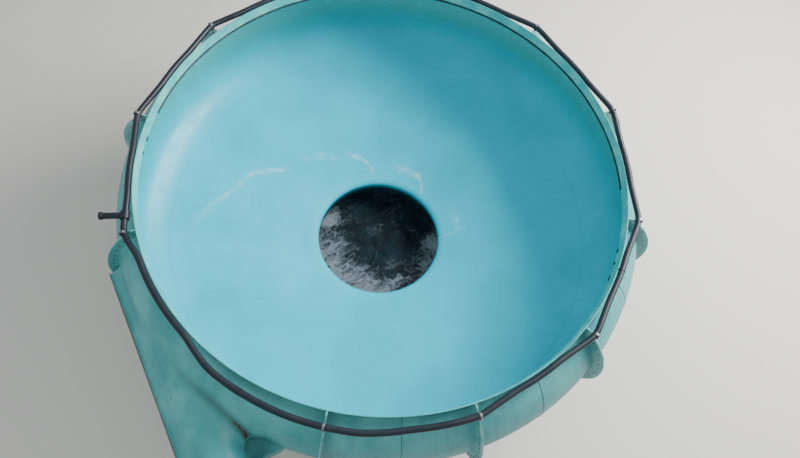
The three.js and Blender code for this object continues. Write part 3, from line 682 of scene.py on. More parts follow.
inside = wallInside(panel["outlinePoints"])
outside = beside(inside, bowl["shell"])
ribShare = np.minimum(1, np.linspace(0, 1, panel["outlinePoints"]) / panel["ribTaper"])
ribGrowth = panel["ribFootHeight"] + (panel["ribHeight"] - panel["ribFootHeight"]) * ribShare
ribEdge = beside(inside, bowl["shell"] + ribGrowth)
ledgeRadius = bowl["seamRadius"] + collar["thickness"] + collar["seamGap"]
upstandRadius = ledgeRadius + panel["upstandThickness"] + panel["upstandOffset"]
upstandTop = bowl["seamHeight"] + panel["upstandHeight"]
upstand = [(upstandRadius, bowl["seamHeight"] - 0.002), (upstandRadius, upstandTop),
           (upstandRadius - panel["upstandThickness"], upstandTop), (ledgeRadius, bowl["seamHeight"])]


def wallOutlines():
    # the section of a panel, plain and at a flange, with matching points
    joint, foot = onFloor(bowl["floorJointRadius"], panel["jointFlangeDepth"])
    edge, top = joint + panel["jointFlangeThickness"], bowl["rimHeight"] - panel["ribTopDrop"]
    start = [(joint, foot), (edge, foot)]
    plain = [*start, (edge + 0.006, outside[0][1] + 0.002), *outside[1:-1], *upstand, *inside[::-1]]
    flanged = [*start, (edge + 0.03, foot - panel["ribFootSink"]), *ribEdge[1:-1],
               (panel["ribTopRadius"] + 0.014, top - 0.02), (panel["ribTopRadius"], top),
               (bowl["rimRadius"] + collar["thickness"] + 0.0015, top), upstand[-1], *inside[::-1]]
    return np.array(plain), np.array(flanged)


wallPlain, wallFlanged = wallOutlines()
insideStart = len(wallPlain) - panel["outlinePoints"]  # first point of the outline on the bowl's inside


def filletedStations(plain, flanged, spread=1.0):
    # sections at one side of a panel: the flange, then the hollow at its root
    root = bowl["gapAngle"] + panel["flangeAngle"]
    hollow = [(root + angle * spread, plain + (flanged - plain) * share) for angle, share in panel["fillet"]]
    return [(bowl["gapAngle"], flanged), (root, flanged)] + hollow


def panelStations(near, span, middle):
    return near + middle + [(span - angle, outline) for angle, outline in reversed(near)]


def evenStations(outline, span):
    steps = round(span / panel["turnStep"])
    return [(span * k / steps, outline) for k in range(1, steps)]


def wallPanels():
    span, wide = bowl["panelAngle"], np.degrees(panel["lapWidth"] / bowl["bulgeRadius"])
    half = span / 2
    # at mid-panel one sheet laps over the other and stands a little proud of it
    proud = wallPlain.copy()
    proud[3:1 + len(outside)] = beside(inside, bowl["shell"] + panel["lapThickness"])[1:-1]
    lap = [(half - 0.02, wallPlain), (half + 0.02, proud), (half + wide, proud),
           (half + wide + 0.7, wallPlain)]
    middle = [s for s in evenStations(wallPlain, span) if not -0.1 < s[0] - half < wide + 0.8]
    middle = sorted(middle + lap, key=lambda s: s[0])
    stations = panelStations(filletedStations(wallPlain, wallFlanged), span, middle)
    # flange edges that take the pale colour: scuffs and a painted highlight
    wear = np.zeros((len(stations), len(wallPlain)))
    wear[[0, 1, -2, -1], 3:insideStart - 1] = 1.0
    mesh = sweepRound("wallPanel", stations, insideStart, wear)
    addCopies("wall_panels", mesh, "outside", "teal_gelcoat", numbered("wall_panel", 10), bowl["entryTo"],
              span, 10, "inside")


wallPanels()
print("wall panels made")


# Entry tube: its own frame has X upstream, Y towards the bowl and Z up
tube = dict(
    radius=0.405, wall=0.012, tangentAngle=219.0, slope=0.08, stub=3.5, section=1.55, flangeRadius=0.465,
    flangeThickness=0.014, finWidth=0.13, finThickness=0.024, finSink=0.03, finEndAngle=8.92,
    finOverlap=0.0002, longFinWidth=0.2, swellWidth=0.14, swellBlend=0.07, crotchBlend=0.32, blend=0.16,
    blendOver=1.1, voxel=0.028, sides=64, dirtReach=0.2, skinRounds=5, skinReach=0.12, skinStep=0.03,
    probe=1e-4, insideReach=0.0025,
)
boreRadius = tube["radius"] - tube["wall"]
axisRadius = bowl["bulgeRadius"] - tube["radius"]
finRoot, longFinEdge = tube["radius"] - tube["finSink"], tube["radius"] + tube["longFinWidth"]
finSlant = tan(radians(tube["finEndAngle"]))


def tubeFrame():
    angle = radians(tube["tangentAngle"])
    x = Vector((-sin(angle), cos(angle), tube["slope"])).normalized()
    y = Vector((-cos(angle), -sin(angle), 0))
    place = Matrix((x, y, x.cross(y))).transposed().to_4x4()
    place.translation = onCircle(axisRadius, angle, bowl["bulgeHeight"])
    return place


tubePlace = tubeFrame()
turnBack = np.array(tubePlace.inverted())


def inTube(mesh, start=0.0, onX=True):
    # sets a mesh into the tube's frame, by default one that was made along Z
    return moved(mesh, tubePlace @ shift(start, 0, 0) @ (turn(90, "Y") if onX else Matrix()))


def localOf(points):
    return points @ turnBack[:3, :3].T + turnBack[:3, 3]


def profileOf(points):
    # radius from the bowl's axis and height
    return np.column_stack([np.hypot(points[:, 0], points[:, 1]), points[:, 2]])


def fromTubeAxis(local):
    # distance to the tube's axis, upstream of its tangent place only
    along = np.maximum(local[:, 0], 0)
    return np.linalg.norm(local - np.column_stack([along, along * 0, along * 0]), axis=1)


def fromLine(points, line):
    # signed distance of points to a line in radius and height, positive to the right of its direction
    best, signed = np.full(len(points), 1e9), np.zeros(len(points))
    for start, step in zip(line[:-1], line[1:] - line[:-1]):
        rel = points - start
        t = np.clip(rel @ step / (step ** 2).sum(), 0, 1)
        size = np.linalg.norm(rel - t[:, None] * step, axis=1)
        nearer = size < best - 1e-9
        best[nearer] = size[nearer]
        signed[nearer] = (size * np.sign(rel[:, 0] * step[1] - rel[:, 1] * step[0]))[nearer]
    return signed


def finPlan(side, start, end):
    edge = tube["radius"] + tube["finWidth"]
    corners = [(start, side * finRoot), (end, side * finRoot), (end, side * edge), (start, side * edge)]
    return corners if side > 0 else corners[::-1]


def longFinPlan():
    # on the outside the fin runs on past the tangent until it meets the rib
    return [(-finSlant * (axisRadius + longFinEdge), -longFinEdge), (tube["stub"], -longFinEdge),
            (tube["stub"], -finRoot), (-finSlant * (axisRadius + finRoot), -finRoot)]


def finMesh(plan, side):
    # one of the two plates that are bolted together: the upper with side 1, the lower with side 0
    half, overlap = tube["finThickness"] / 2, tube["finOverlap"]
    mesh = prism("fin", plan, half + overlap, 0.0035)
    return moved(mesh, tubePlace @ shift(0, 0, side * half - half - (side - 0.5) * overlap))


def cutWith(piece, mesh, operation):
    modifier = piece.modifiers.new("cut", "BOOLEAN")
    modifier.operation, modifier.solver = operation, "MANIFOLD"
    modifier.object = cutter = newPiece("cutter", mesh)
    keepResult(piece)
    bpy.data.objects.remove(cutter)


def paint(mesh, marked, finish, markedFinish):
    # a second finish on the marked faces
    mesh.materials.clear()
    mesh.materials.append(finishes[finish])
    mesh.materials.append(finishes[markedFinish])
    mesh.polygons.foreach_set("material_index", np.asarray(marked, np.int32))


def centresOf(mesh):
    return np.array([f.center[:] for f in mesh.polygons])


def softMin(a, b, reach):
    h = np.maximum(reach - np.abs(a - b), 0) / reach
    return np.minimum(a, b) - h * h * reach / 4


def swellSection():
    # outside the bowl the moulding swells out from the tube to the fin: its section in Y and Z
    tip, half = tube["radius"] + tube["swellWidth"], tube["finThickness"] / 2 - 0.001
    touch = acos(tube["radius"] / tip)
    y, z = -tube["radius"] * cos(touch), tube["radius"] * sin(touch)
    return [(-tip, half), (-tip, -half), (y, -z), (y, z)]


swell = swellSection()
swellSlant = finSlant * (bowl["bulgeRadius"] + tube["swellWidth"])
wallFoot = outside[0] - (outside[1] - outside[0]) * 4
wallTop = outside[-1] + (outside[-1] - outside[-2]) * 2
wallSkin = np.vstack([[wallFoot], outside, [wallTop]])


def skinGap(points):
    # distance to the outer skin, where wall, tube and swell flow into each other in hollow curves
    local = localOf(points)
    s = np.maximum(local[:, 0], 0)
    reach = tube["blend"] + tube["crotchBlend"] * np.clip((s - 1.2) / 0.8, 0, 1)
    reach *= np.clip(s / tube["blendOver"], 0.02, 1) * np.clip((tube["stub"] - s) / 0.4 + 0.05, 0.05, 1)
    wedge = np.maximum(fromLine(local[:, 1:], np.array(swell + swell[:1])), -swellSlant - local[:, 0])
    outer = softMin(fromTubeAxis(local) - tube["radius"], wedge, tube["swellBlend"])
    wall = fromLine(profileOf(points), wallSkin)
    return np.minimum(softMin(wall, outer, reach), softMin(wall, wedge, tube["swellBlend"]))


def hollowFiller():
    # small cubes wherever the skin will lie outside both wall and tube
    step, place = tube["voxel"] * 1.3, np.array(tubePlace)
    axes = [np.arange(low, high, step) for low, high in ((2.0, 3.4), (0.1, 0.95), (-0.5, 0.5))]
    spots = np.stack(np.meshgrid(*axes, indexing="ij"), -1).reshape(-1, 3)
    spots = spots @ place[:3, :3].T + place[:3, 3]
    spots = spots[skinGap(spots) < -0.004]
    corners = np.array([(x, y, z) for x in (-1, 1) for y in (-1, 1) for z in (-1, 1)]) * step * 0.56
    sides = ((0, 1, 3, 2), (4, 6, 7, 5), (0, 4, 5, 1), (2, 3, 7, 6), (0, 2, 6, 4), (1, 5, 7, 3))
    faces = [tuple(8 * k + c for c in side) for k in range(len(spots)) for side in sides]
    return meshOf("filler", (spots[:, None] + corners).reshape(-1, 3), faces)


def entrySkin():
    # wall, tube and swell as one skin
    outline = [(3.2, wallFoot[1]), *wallSkin, (3.2, wallTop[1])]
    first, last = bowl["entryFrom"] - 6, bowl["entryTo"] + 6
    block = sweepRound("entryBlock", [(a, outline) for a in np.linspace(first, last, 60)])
    bar = inTube(tubeAlong("entryBar", tube["radius"], tube["stub"] + 0.3, 48))
    wedge = prism("swell", swell, tube["stub"] + 0.3 + swellSlant)
    wedge.transform(Matrix(((0, 0, 1, 0), (1, 0, 0, 0), (0, 1, 0, 0), (0, 0, 0, 1))))
    body = newPiece("entry_panel", joinMeshes("entryBody", [
        block, bar, inTube(wedge, -swellSlant, False), hollowFiller()]))
    remesh = body.modifiers.new("remesh", "REMESH")
    remesh.mode, remesh.voxel_size = "VOXEL", tube["voxel"]
    keepResult(body)
    p = np.zeros(len(body.data.vertices) * 3)
    body.data.vertices.foreach_get("co", p)
    p = p.reshape(-1, 3)
    for _ in range(tube["skinRounds"]):
        gap = skinGap(p)
        slope = np.column_stack([(skinGap(p + e) - gap) / tube["probe"] for e in np.eye(3) * tube["probe"]])
        slope /= np.maximum((slope ** 2).sum(1), 0.2)[:, None]
        move = -gap[:, None] * slope
        move *= np.minimum(1, tube["skinStep"] / np.maximum(np.linalg.norm(move, axis=1), 1e-9))[:, None]
        angle = np.degrees(np.arctan2(p[:, 1], p[:, 0])) % 360
        away = ((angle < first + 1) | (angle > last - 1) | (p[:, 2] < wallFoot[1] + 0.03)
                | (p[:, 2] > wallTop[1] - 0.03) | (np.hypot(p[:, 0], p[:, 1]) < 3.3)
                | (localOf(p)[:, 0] > tube["stub"] + 0.25))
        move[away | (np.abs(gap) > tube["skinReach"])] = 0
        p = p + move
    body.data.vertices.foreach_set("co", p.ravel())
    body.data.update()
    return body


def entryPanel():
    body, stub, seam, margin = entrySkin(), tube["stub"], bowl["seamHeight"], 0.5
    flange = tubeAlong("entryFlange", tube["flangeRadius"], tube["flangeThickness"], tube["sides"])
    flange = inTube(flange, stub - tube["flangeThickness"])
    for extra in [finMesh(longFinPlan(), side) for side in (0, 1)] + [flange]:
        cutWith(body, extra, "UNION")
    cutWith(body, inTube(tubeAlong("entryEnd", 0.468, 0.5, 64), stub), "DIFFERENCE")
    beyond = boxOf("entryBeyond", (stub, -0.75, -0.47), (stub + 0.5, 0, 0.47), 0)
    cutWith(body, inTube(beyond, 0.0, False), "DIFFERENCE")
    keep = [(bowl["floorJointRadius"], 1.4), (7.5, 1.4), (7.5, seam), (bowl["seamRadius"], seam),
            *inside[-2::-1]]
    first, last = bowl["entryFrom"] + margin, bowl["entryTo"] - margin
    steps = round((last - first) / panel["turnStep"])
    turns = [first + (last - first) * k / steps for k in range(steps + 1)]
    cutWith(body, sweepRound("entryKeep", [(a, keep) for a in turns]), "INTERSECT")
    rounded = [(boreRadius * sin(a), -boreRadius * cos(a)) for a in np.linspace(0.03, pi / 2, 14)]
    bore = turnedSolid("entryBore", rounded + [(boreRadius, stub + 0.2)], tube["sides"])
    cutWith(body, inTube(bore), "DIFFERENCE")
    # flanges at both ends, then the joint flange at the floor and the upstand round the collar
    near = [s for s in filletedStations(wallPlain, wallFlanged) if s[0] < margin] + [(margin, wallPlain)]
    ends = [[(bowl["entryFrom"] + angle, outline) for angle, outline in near],
            [(bowl["entryTo"] - angle, outline) for angle, outline in reversed(near)]]
    (joint, foot), low = onFloor(bowl["floorJointRadius"], panel["jointFlangeDepth"]), outside[0][1]
    skirt = [(joint, foot), (joint + 0.012, foot), (joint + 0.018, low + 0.002), (joint + 0.018, low + 0.012),
             (joint, low + 0.012)]
    ledge = [(ledgeRadius - 0.008, seam - 0.03), *upstand, (ledgeRadius - 0.008, seam)]
    angles = np.linspace(first, last, steps + 1)
    parts = [body.data] + [sweepRound("entryRib", e) for e in ends]
    parts += [sweepRound("entryTrim", [(a, o) for a in angles]) for o in (skirt, ledge)]
    mesh = body.data = shadeSoft(joinMeshes("entry_panel", [part.copy() for part in parts]))
    centres = centresOf(mesh)
    paint(mesh, (np.abs(fromLine(profileOf(centres), inside)) < tube["insideReach"])
          | (fromTubeAxis(localOf(centres)) < boreRadius + 0.001), "outside", "inside")
    # painted shade and dirt in the hollow, and places in the tube's own frame
    spots = np.array([v.co[:] for v in mesh.vertices])
    x, y, z = localOf(spots).T
    fromWall = np.abs(fromLine(profileOf(spots), outside))
    fromBar = np.abs(np.hypot(y, z) - tube["radius"])
    hollow = np.clip(1 - np.abs(fromWall - fromBar) / tube["dirtReach"], 0, 1)
    hollow *= np.clip((0.4 - fromWall) / 0.1, 0, 1) * (z > 0) * (y > -0.1)
    hollow *= np.clip((x - 1.0) / 1.8, 0, 0.8) + np.clip((x - 2.75) / 0.6, 0, 0.6)
    mesh.attributes.new("creaseShadeAndDirt", "FLOAT", "POINT").data.foreach_set("value", hollow)
    tubeSpot = mesh.attributes.new("tubeSpot", "FLOAT_VECTOR", "POINT")
    tubeSpot.data.foreach_set("vector", localOf(spots).ravel())
    settle(body, "teal_gelcoat", "entry_panel")


entryPanel()
print("entry panel made")


def tubeSections():
    radius, edge, thick = tube["radius"], tube["flangeRadius"], tube["flangeThickness"]
    length = tube["section"] - 2 * collar["seamGap"]
    outline = [(edge, 0.0), (edge, thick), (radius + 0.01, thick), (radius, thick + 0.01),
               (radius, length - thick - 0.01), (radius + 0.01, length - thick), (edge, length - thick),
               (edge, length), (boreRadius, length), (boreRadius, 0.0)]
    for k in range(2):
        start = tube["stub"] + k * tube["section"] + collar["seamGap"]
        sleeve = inTube(ringOf("tubeSleeve", outline, tube["sides"]), start)
        body = newPiece(f"tube_section_{k + 1}", sleeve)
        for fin, side in ((1, 0), (1, 1), (-1, 0), (-1, 1)):
            cutWith(body, finMesh(finPlan(fin, start + 0.002, start + length - 0.002), side), "UNION")
        bar = inTube(tubeAlong("tubeBore", boreRadius - 0.0002, length + 0.4, tube["sides"]), start - 0.2)
        cutWith(body, bar, "DIFFERENCE")
        local = localOf(centresOf(shadeSoft(body.data)))
        paint(body.data, np.hypot(local[:, 1], local[:, 2]) < boreRadius + 0.001, "outside", "inside")
        settle(body, "teal_gelcoat", f"flume_top_{k + 1}", f"flume_bottom_{k + 1}")


tubeSections()
print("tube sections made")


# Rim collar, sealant, floor and drop hole
def rimCollar():
    rim, seam, thickness, lip = bowl["rimRadius"], bowl["seamRadius"], collar["thickness"], collar["lip"]
    foot, top = bowl["seamHeight"] + collar["seamGap"], bowl["rimHeight"] - lip
    outline = [(seam, foot), (seam + thickness, foot), (rim + thickness, top)]
    outline += arc((rim + lip, top), lip, np.linspace(0.1, pi - 0.1, 7))
    outline += [(seam + (rim - seam) * t, foot + (top - foot) * t) for t in (1, 0.75, 0.5, 0.25)]
    span = 360 / collar["count"]
    angles = np.linspace(0, span, 61)
    angles[[0, -1]] += bowl["gapAngle"], -bowl["gapAngle"]
    mesh = sweepRound("rimCollar", [(a, outline) for a in angles])
    addCopies("rim_collar", mesh, "collar", "turquoise_gelcoat", numbered("rim_collar", 4),
              collar["firstJoint"], span, collar["count"])


sealant = dict(
    first=9.0, last=177.0, steps=340, depth=0.001,
    # places where it was smeared over the seam by hand, as angles, lengths and heights
    smears=((136.3, 0.09, 0.05), (129.8, 0.07, 0.045), (352.2, 0.1, 0.05), (348.8, 0.07, 0.055),
            (344.7, 0.11, 0.045), (184.7, 0.09, 0.05), (188.6, 0.06, 0.04)),
    smearDepth=0.03,
)


def sealantLine():
    r, z = bowl["seamRadius"] - sealant["depth"], bowl["seamHeight"] + sealant["depth"]
    turns = np.radians(np.linspace(sealant["first"], sealant["last"], sealant["steps"]))
    line = meshOf("sealantLine", [onCircle(r, a, z) for a in turns], [],
                  [(k, k + 1) for k in range(len(turns) - 1)])
    piece = newPiece("seam_sealant", line)
    runTree(piece, sealantBead, beadRadius=0.0155, unevenness=0.6, lumpSize=0.12, seed=4.0,
            finish=finishes["sealant"])
    settle(piece, None)
    lumps = []
    for number, (angle, length, tall) in enumerate(sealant["smears"]):
        work = bmesh.new()
        bmesh.ops.create_uvsphere(work, u_segments=14, v_segments=9, radius=0.5)
        for vertex in work.verts:
            deep, wide, high = vertex.co
            wave = 1 + 0.18 * sin(7 * wide + number) + 0.12 * sin(11 * high + 2 * number)
            vertex.co = deep * sealant["smearDepth"], wide * length * wave, high * tall * wave
        lump = bpy.data.meshes.new("smear")
        work.to_mesh(lump)
        work.free()
        lumps.append(moved(lump, turn(angle) @ shift(r, 0, z + 0.004 * sin(number))))
    addPiece("sealant_smears", shadeSoft(joinMeshes("sealant_smears", lumps), 80), "sealant", None)


floorPart = dict(panelAngle=60.0, firstJoint=30.0, throatRadius=1.57, lipRadius=1.448, lipDepth=0.116,
                 skirtHeight=1.48, skirtRadius=1.35, filletSpread=1.6, rootInset=0.012)


def floorPanels():
    inner, outer = floorPart["throatRadius"], bowl["floorJointRadius"] - collar["seamGap"]
    depth, thickness, inset = panel["jointFlangeDepth"], panel["jointFlangeThickness"], floorPart["rootInset"]
    upper = [onFloor(r) for r in np.linspace(outer, inner, 16)]
    (_, innerFoot), (_, outerFoot) = onFloor(inner, depth), onFloor(outer, depth)

    def outline(drop):
        radii = np.linspace(inner + thickness + inset, outer - thickness - inset, 8)
        under = [onFloor(r, drop) for r in radii]
        return np.array([(inner, innerFoot), (inner + thickness, innerFoot), *under,
                         (outer - thickness, outerFoot), (outer, outerFoot), *upper])

    plain, span = outline(bowl["shell"]), floorPart["panelAngle"]
    near = filletedStations(plain, outline(depth - 0.001), floorPart["filletSpread"])
    stations = panelStations(near, span, evenStations(plain, span))
    mesh = sweepRound("floorPanel", stations, len(plain) - len(upper))
    addCopies("floor_panels", mesh, "outside", "turquoise_gelcoat", numbered("floor_panel", 6),
              floorPart["firstJoint"], span, 6, "inside")


def dropHole():
    joint = floorPart["throatRadius"] - collar["seamGap"]
    lip, hole = floorPart["lipRadius"], bowl["holeRadius"]
    t = np.linspace(0, 1, 14)[:, None]
    curve = ((1 - t) ** 2 * np.array(onFloor(lip)) + 2 * t * (1 - t) * np.array(onFloor(hole))
             + t ** 2 * np.array((hole, floorHeight(lip) - floorPart["lipDepth"])))
    face = np.vstack([[onFloor(joint)], curve, [(floorPart["skirtRadius"], floorPart["skirtHeight"])]])
    _, foot = onFloor(joint, panel["jointFlangeDepth"])
    mesh = ringOf("dropHole", [*face, *beside(face, -bowl["shell"])[:0:-1],
                               (joint - panel["jointFlangeThickness"], foot), (joint, foot)], 144)
    paint(mesh, [f.normal.x * f.center.x + f.normal.y * f.center.y > 0.02 or f.normal.z < -0.5
                 for f in mesh.polygons], "inside", "outside")
    settle(newPiece("drop_hole", mesh), "turquoise_gelcoat", "hole_ring")


rimCollar()
sealantLine()
floorPanels()
dropHole()
print("collar, floor and drop hole made")


# Water pipe round the rim
ringPipe = dict(
    radius=0.055, height=4.791, cornerRadius=4.616, play=0.005, parts=3, firstJoint=132.0, bendHalf=1.6,
    detour=((210, 4.616), (216, 4.48), (237, 4.48), (245, 4.61), (262, 4.65), (277, 4.67), (287, 4.61),
            (300, 4.616)),
    sleeveThickness=0.004, sleeveHalf=1.3,
)


def pipeCourse(angle):
    angle %= 360
    angles, radii = zip(*ringPipe["detour"])
    if angles[0] < angle < angles[-1]:
        return float(np.interp(angle, angles, radii))
    straight = ringPipe["cornerRadius"] * cos(radians(15)) / cos(radians(angle % 30 - 15))
    return max(straight, bowl["rimRadius"] + collar["thickness"] + ringPipe["radius"] + ringPipe["play"])


def pipeRadiusAt(angle):
    # the same course with its corners bent round
    half = ringPipe["bendHalf"]
    return float(np.mean([pipeCourse(angle + d) for d in np.linspace(-half, half, 9)]))


def pipeOutline(angle, size, sides=18):
    return arc((pipeRadiusAt(angle), ringPipe["height"]), size, [2 * pi * k / sides for k in range(sides)])


def ringPipes():
    size, span, gap = ringPipe["radius"], 360 / ringPipe["parts"], bowl["gapAngle"]
    half, bulk = ringPipe["sleeveHalf"], ringPipe["sleeveThickness"]
    rows = ((-half, -0.001), (-half + 0.05, bulk), (-0.1, bulk), (0.0, bulk - 0.001), (0.1, bulk),
            (half - 0.05, bulk), (half, -0.001))
    sleeves = []
    for k in range(ringPipe["parts"]):
        first = ringPipe["firstJoint"] + k * span
        stations = [(a, pipeOutline(a, size)) for a in np.linspace(first + gap, first + span - gap, 121)]
        addPiece(f"rim_pipe_{k + 1}", sweepRound("rimPipe", stations), "pipe", "grey_pipe",
                 f"ring_pipe_{k + 1}")
        sleeves.append(sweepRound("sleeve", [(first + d, pipeOutline(first + d, size + e)) for d, e in rows]))
    addPiece("pipe_sleeves", joinMeshes("pipe_sleeves", sleeves), "pipe", "grey_pipe")


clamp = dict(width=0.04, strap=0.009, footHalf=0.032, earLength=0.03, earThickness=0.008, earHeight=-0.052,
             wrap=(-48, 228), play=0.0008, sink=0.004, rounding=0.002)


def ribEdgeHeight(radius):
    upper = ribEdge[np.argmax(ribEdge[:, 0]):][::-1]
    return float(np.interp(radius, upper[:, 0], upper[:, 1]))


def clampMesh(radius):
    # a strap over the pipe, on a foot with two ears, that stands on the rib's edge
    half, width, soft, low = clamp["footHalf"], clamp["width"], clamp["rounding"], clamp["earHeight"]
    turns = np.radians(np.linspace(*clamp["wrap"], 22))
    band = arc((0, 0), ringPipe["radius"] + clamp["strap"], turns)
    band += arc((0, 0), ringPipe["radius"] + clamp["play"], turns[::-1])
    far, near = (ribEdgeHeight(radius + s * half) - ringPipe["height"] - clamp["sink"] for s in (1, -1))
    foot = [(-half - 0.009, near), (half + 0.009, far), (half + 0.012, -0.045), (half - 0.004, -0.05),
            (0, -0.056), (-half + 0.004, -0.05), (-half - 0.012, -0.045)]
    parts = [prism("clampBand", band, width, soft), prism("clampFoot", foot, width, soft)]
    root, tip = half + 0.004, half + clamp["earLength"] + 0.012
    parts += [boxOf("clampEar", (x0, low, 0), (x1, low + clamp["earThickness"], width), soft)
              for x0, x1 in ((-tip, -root), (root, tip))]
    return moved(joinMeshes("clamp", parts), standing(radius, width, ringPipe["height"]))


def clamps():
    near, *others = numbered("pipe_clamp", 11)
    addCopies("pipe_clamps", clampMesh(ringPipe["cornerRadius"]), "stainless", "stainless", others,
              300.0, 30.0, 10)
    odd = moved(clampMesh(pipeRadiusAt(270)), turn(270))
    addPiece("pipe_clamp_near", odd, "stainless", "stainless", near)


feed = dict(angle=206.0, length=0.42, sleeveLength=0.15, sleeveThickness=0.012, collarLength=0.06)


def feedBranch():
    size, long, end = ringPipe["radius"], feed["sleeveLength"], feed["length"] - feed["collarLength"] - 0.001
    thick = size + feed["sleeveThickness"]
    parts = [
        moved(tubeAlong("feedSleeve", thick + 0.012, long, 32, size + 0.001),
              turn(90, "X") @ shift(0, 0, -long / 2)),
        moved(tubeAlong("feedPipe", size, feed["length"] - 0.05, 32), shift(0.05, 0, 0) @ turn(90, "Y")),
        moved(tubeAlong("feedCollar", thick, feed["collarLength"], 32, size - 0.004),
              shift(end, 0, 0) @ turn(90, "Y")),
    ]
    place = onCircle(pipeRadiusAt(feed["angle"]), radians(feed["angle"]), ringPipe["height"])
    across = feed["angle"] - feed["angle"] % 30 + 15
    mesh = moved(joinMeshes("feed_branch", parts), shift(*place) @ turn(across))
    addPiece("feed_branch_pipe", mesh, "pipe", "grey_pipe", "feed_branch")


strap = dict(angle=346.4, width=0.034, thickness=0.005, plateAngle=315.3, plateWidth=0.036, plateHeight=0.11,
             plateThickness=0.006, plateDrop=0.06)


def rimStrap():
    # a flat strap that is screwed to the rim and bent over the pipe
    r, reach, thick = pipeRadiusAt(strap["angle"]), ringPipe["radius"] + 0.001, strap["thickness"]
    top = bowl["rimHeight"] - ringPipe["height"] + 0.0005
    foot = bowl["rimRadius"] + collar["lip"] * 0.6 - r
    turns = np.linspace(radians(160), radians(-25), 16)
    outline = arc((0, 0), reach + thick, turns) + arc((0, 0), reach, turns[::-1])
    outline += [(-reach - 0.003, top), (foot, top), (foot, top + thick), (-reach - 0.008, top + thick)]
    mesh = moved(prism("strap", outline[::-1], strap["width"], 0.001),
                 turn(strap["angle"]) @ standing(r, strap["width"], ringPipe["height"]))
    addPiece("rim_strap", mesh, "pipe", "grey_pipe")
    # a small plate over the top of one lap, on the outside of the upstand
    half, start = strap["plateWidth"] / 2, upstandRadius - 0.0005
    low = bowl["seamHeight"] - strap["plateDrop"]
    plate = boxOf("lapPlate", (start, -half, low),
                  (start + strap["plateThickness"], half, low + strap["plateHeight"]), 0.002)
    addPiece("lap_plate", moved(plate, turn(strap["plateAngle"])), "stainless", "stainless")


ringPipes()
clamps()
feedBranch()
rimStrap()
print("rim pipe made")


# Stand
stand = dict(beamRadius=4.15, beamWidth=0.12, beamHeight=0.24, beamTop=2.4255, corner=0.012, parts=3,
             firstAngle=30.0, count=6, legRadius=0.11, plateSize=0.42, plateThickness=0.025,
             capSize=0.28, capThickness=0.02, gussetHeight=0.22, gussetThickness=0.012,
             hubInner=1.48, hubOuter=1.61, hubHeight=0.12)


def roundedBox(low, high, corner, steps=4):
    # the outline of a box with rounded corners, counter-clockwise
    (x0, y0), (x1, y1) = [(v + corner) for v in low], [(v - corner) for v in high]
    return [spot for middle, start in (((x1, y0), -90), ((x1, y1), 0), ((x0, y1), 90), ((x0, y0), 180))
            for spot in arc(middle, corner, [radians(start + 90 * k / steps) for k in range(steps + 1)])]


def ringBeams():
    radius, half, top, gap = stand["beamRadius"], stand["beamWidth"] / 2, stand["beamTop"], bowl["gapAngle"]
    outline = roundedBox((radius - half, top - stand["beamHeight"]), (radius + half, top), stand["corner"])
    span = 360 / stand["parts"]
    mesh = sweepRound("ringBeam", [(a, outline) for a in np.linspace(gap, span - gap, 81)])
    addCopies("ring_beam", mesh, "steel", "green_paint", numbered("ring_beam", 3), stand["firstAngle"], span,
              stand["parts"])


def legMesh(height):
    # a round post between a base plate and a cap plate, with gussets at both ends
    size, thick, plate = stand["plateSize"] / 2, stand["plateThickness"], stand["gussetThickness"]
    cap, near, top = stand["capSize"] / 2, stand["legRadius"] - 0.004, height - thick
    parts = [tubeAlong("post", stand["legRadius"], height, 40),
             boxOf("base", (-size, -size, 0), (size, size, thick), 0.004),
             boxOf("cap", (-cap, -cap, height - stand["capThickness"]), (cap, cap, height), 0.003)]
    low = [(near, 0), (size - 0.02, 0), (size - 0.02, 0.03), (near, stand["gussetHeight"])]
    high = [(near, top - 0.16), (cap - 0.008, top - 0.01), (cap - 0.008, top + 0.006), (near, top + 0.006)]
    for k in range(4):
        for outline, first, lift in ((low, 45, thick - 0.001), (high, 0, 0)):
            place = turn(first + 90 * k) @ standing(0, plate, lift)
            parts.append(moved(prism("gusset", outline, plate, 0.0015), place))
    return joinMeshes("post", parts)


def legs():
    mesh = legMesh(stand["beamTop"] - stand["beamHeight"] - collar["seamGap"])
    addCopies("stand_legs", moved(mesh, shift(stand["beamRadius"], 0, 0)), "steel", "green_paint",
              numbered("leg", 6), stand["firstAngle"], 60.0, stand["count"])


def hubRing():
    top = floorHeight(floorPart["throatRadius"]) - panel["jointFlangeDepth"] - collar["seamGap"]
    outline = roundedBox((stand["hubInner"], top - stand["hubHeight"]), (stand["hubOuter"], top), 0.01)
    addPiece("hub", ringOf("hub", outline, 144), "steel", "green_paint", "hub_ring")


def keptNodes():
    for name in numbered("floor_arm", 6) + ["flume_post"]:
        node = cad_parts[name]
        node.data.materials.clear()
        node.data.materials.append(finishes["steel"])


ringBeams()
legs()
hubRing()
keptNodes()
print("stand made")


# Splash basin
basin = dict(radius=2.25, wall=0.18, height=1.25, floor=0.12, coping=0.04, waterHeight=1.05, waterDepth=0.06,
             waterLet=0.01, rings=26, sides=120, calmOver=0.2)


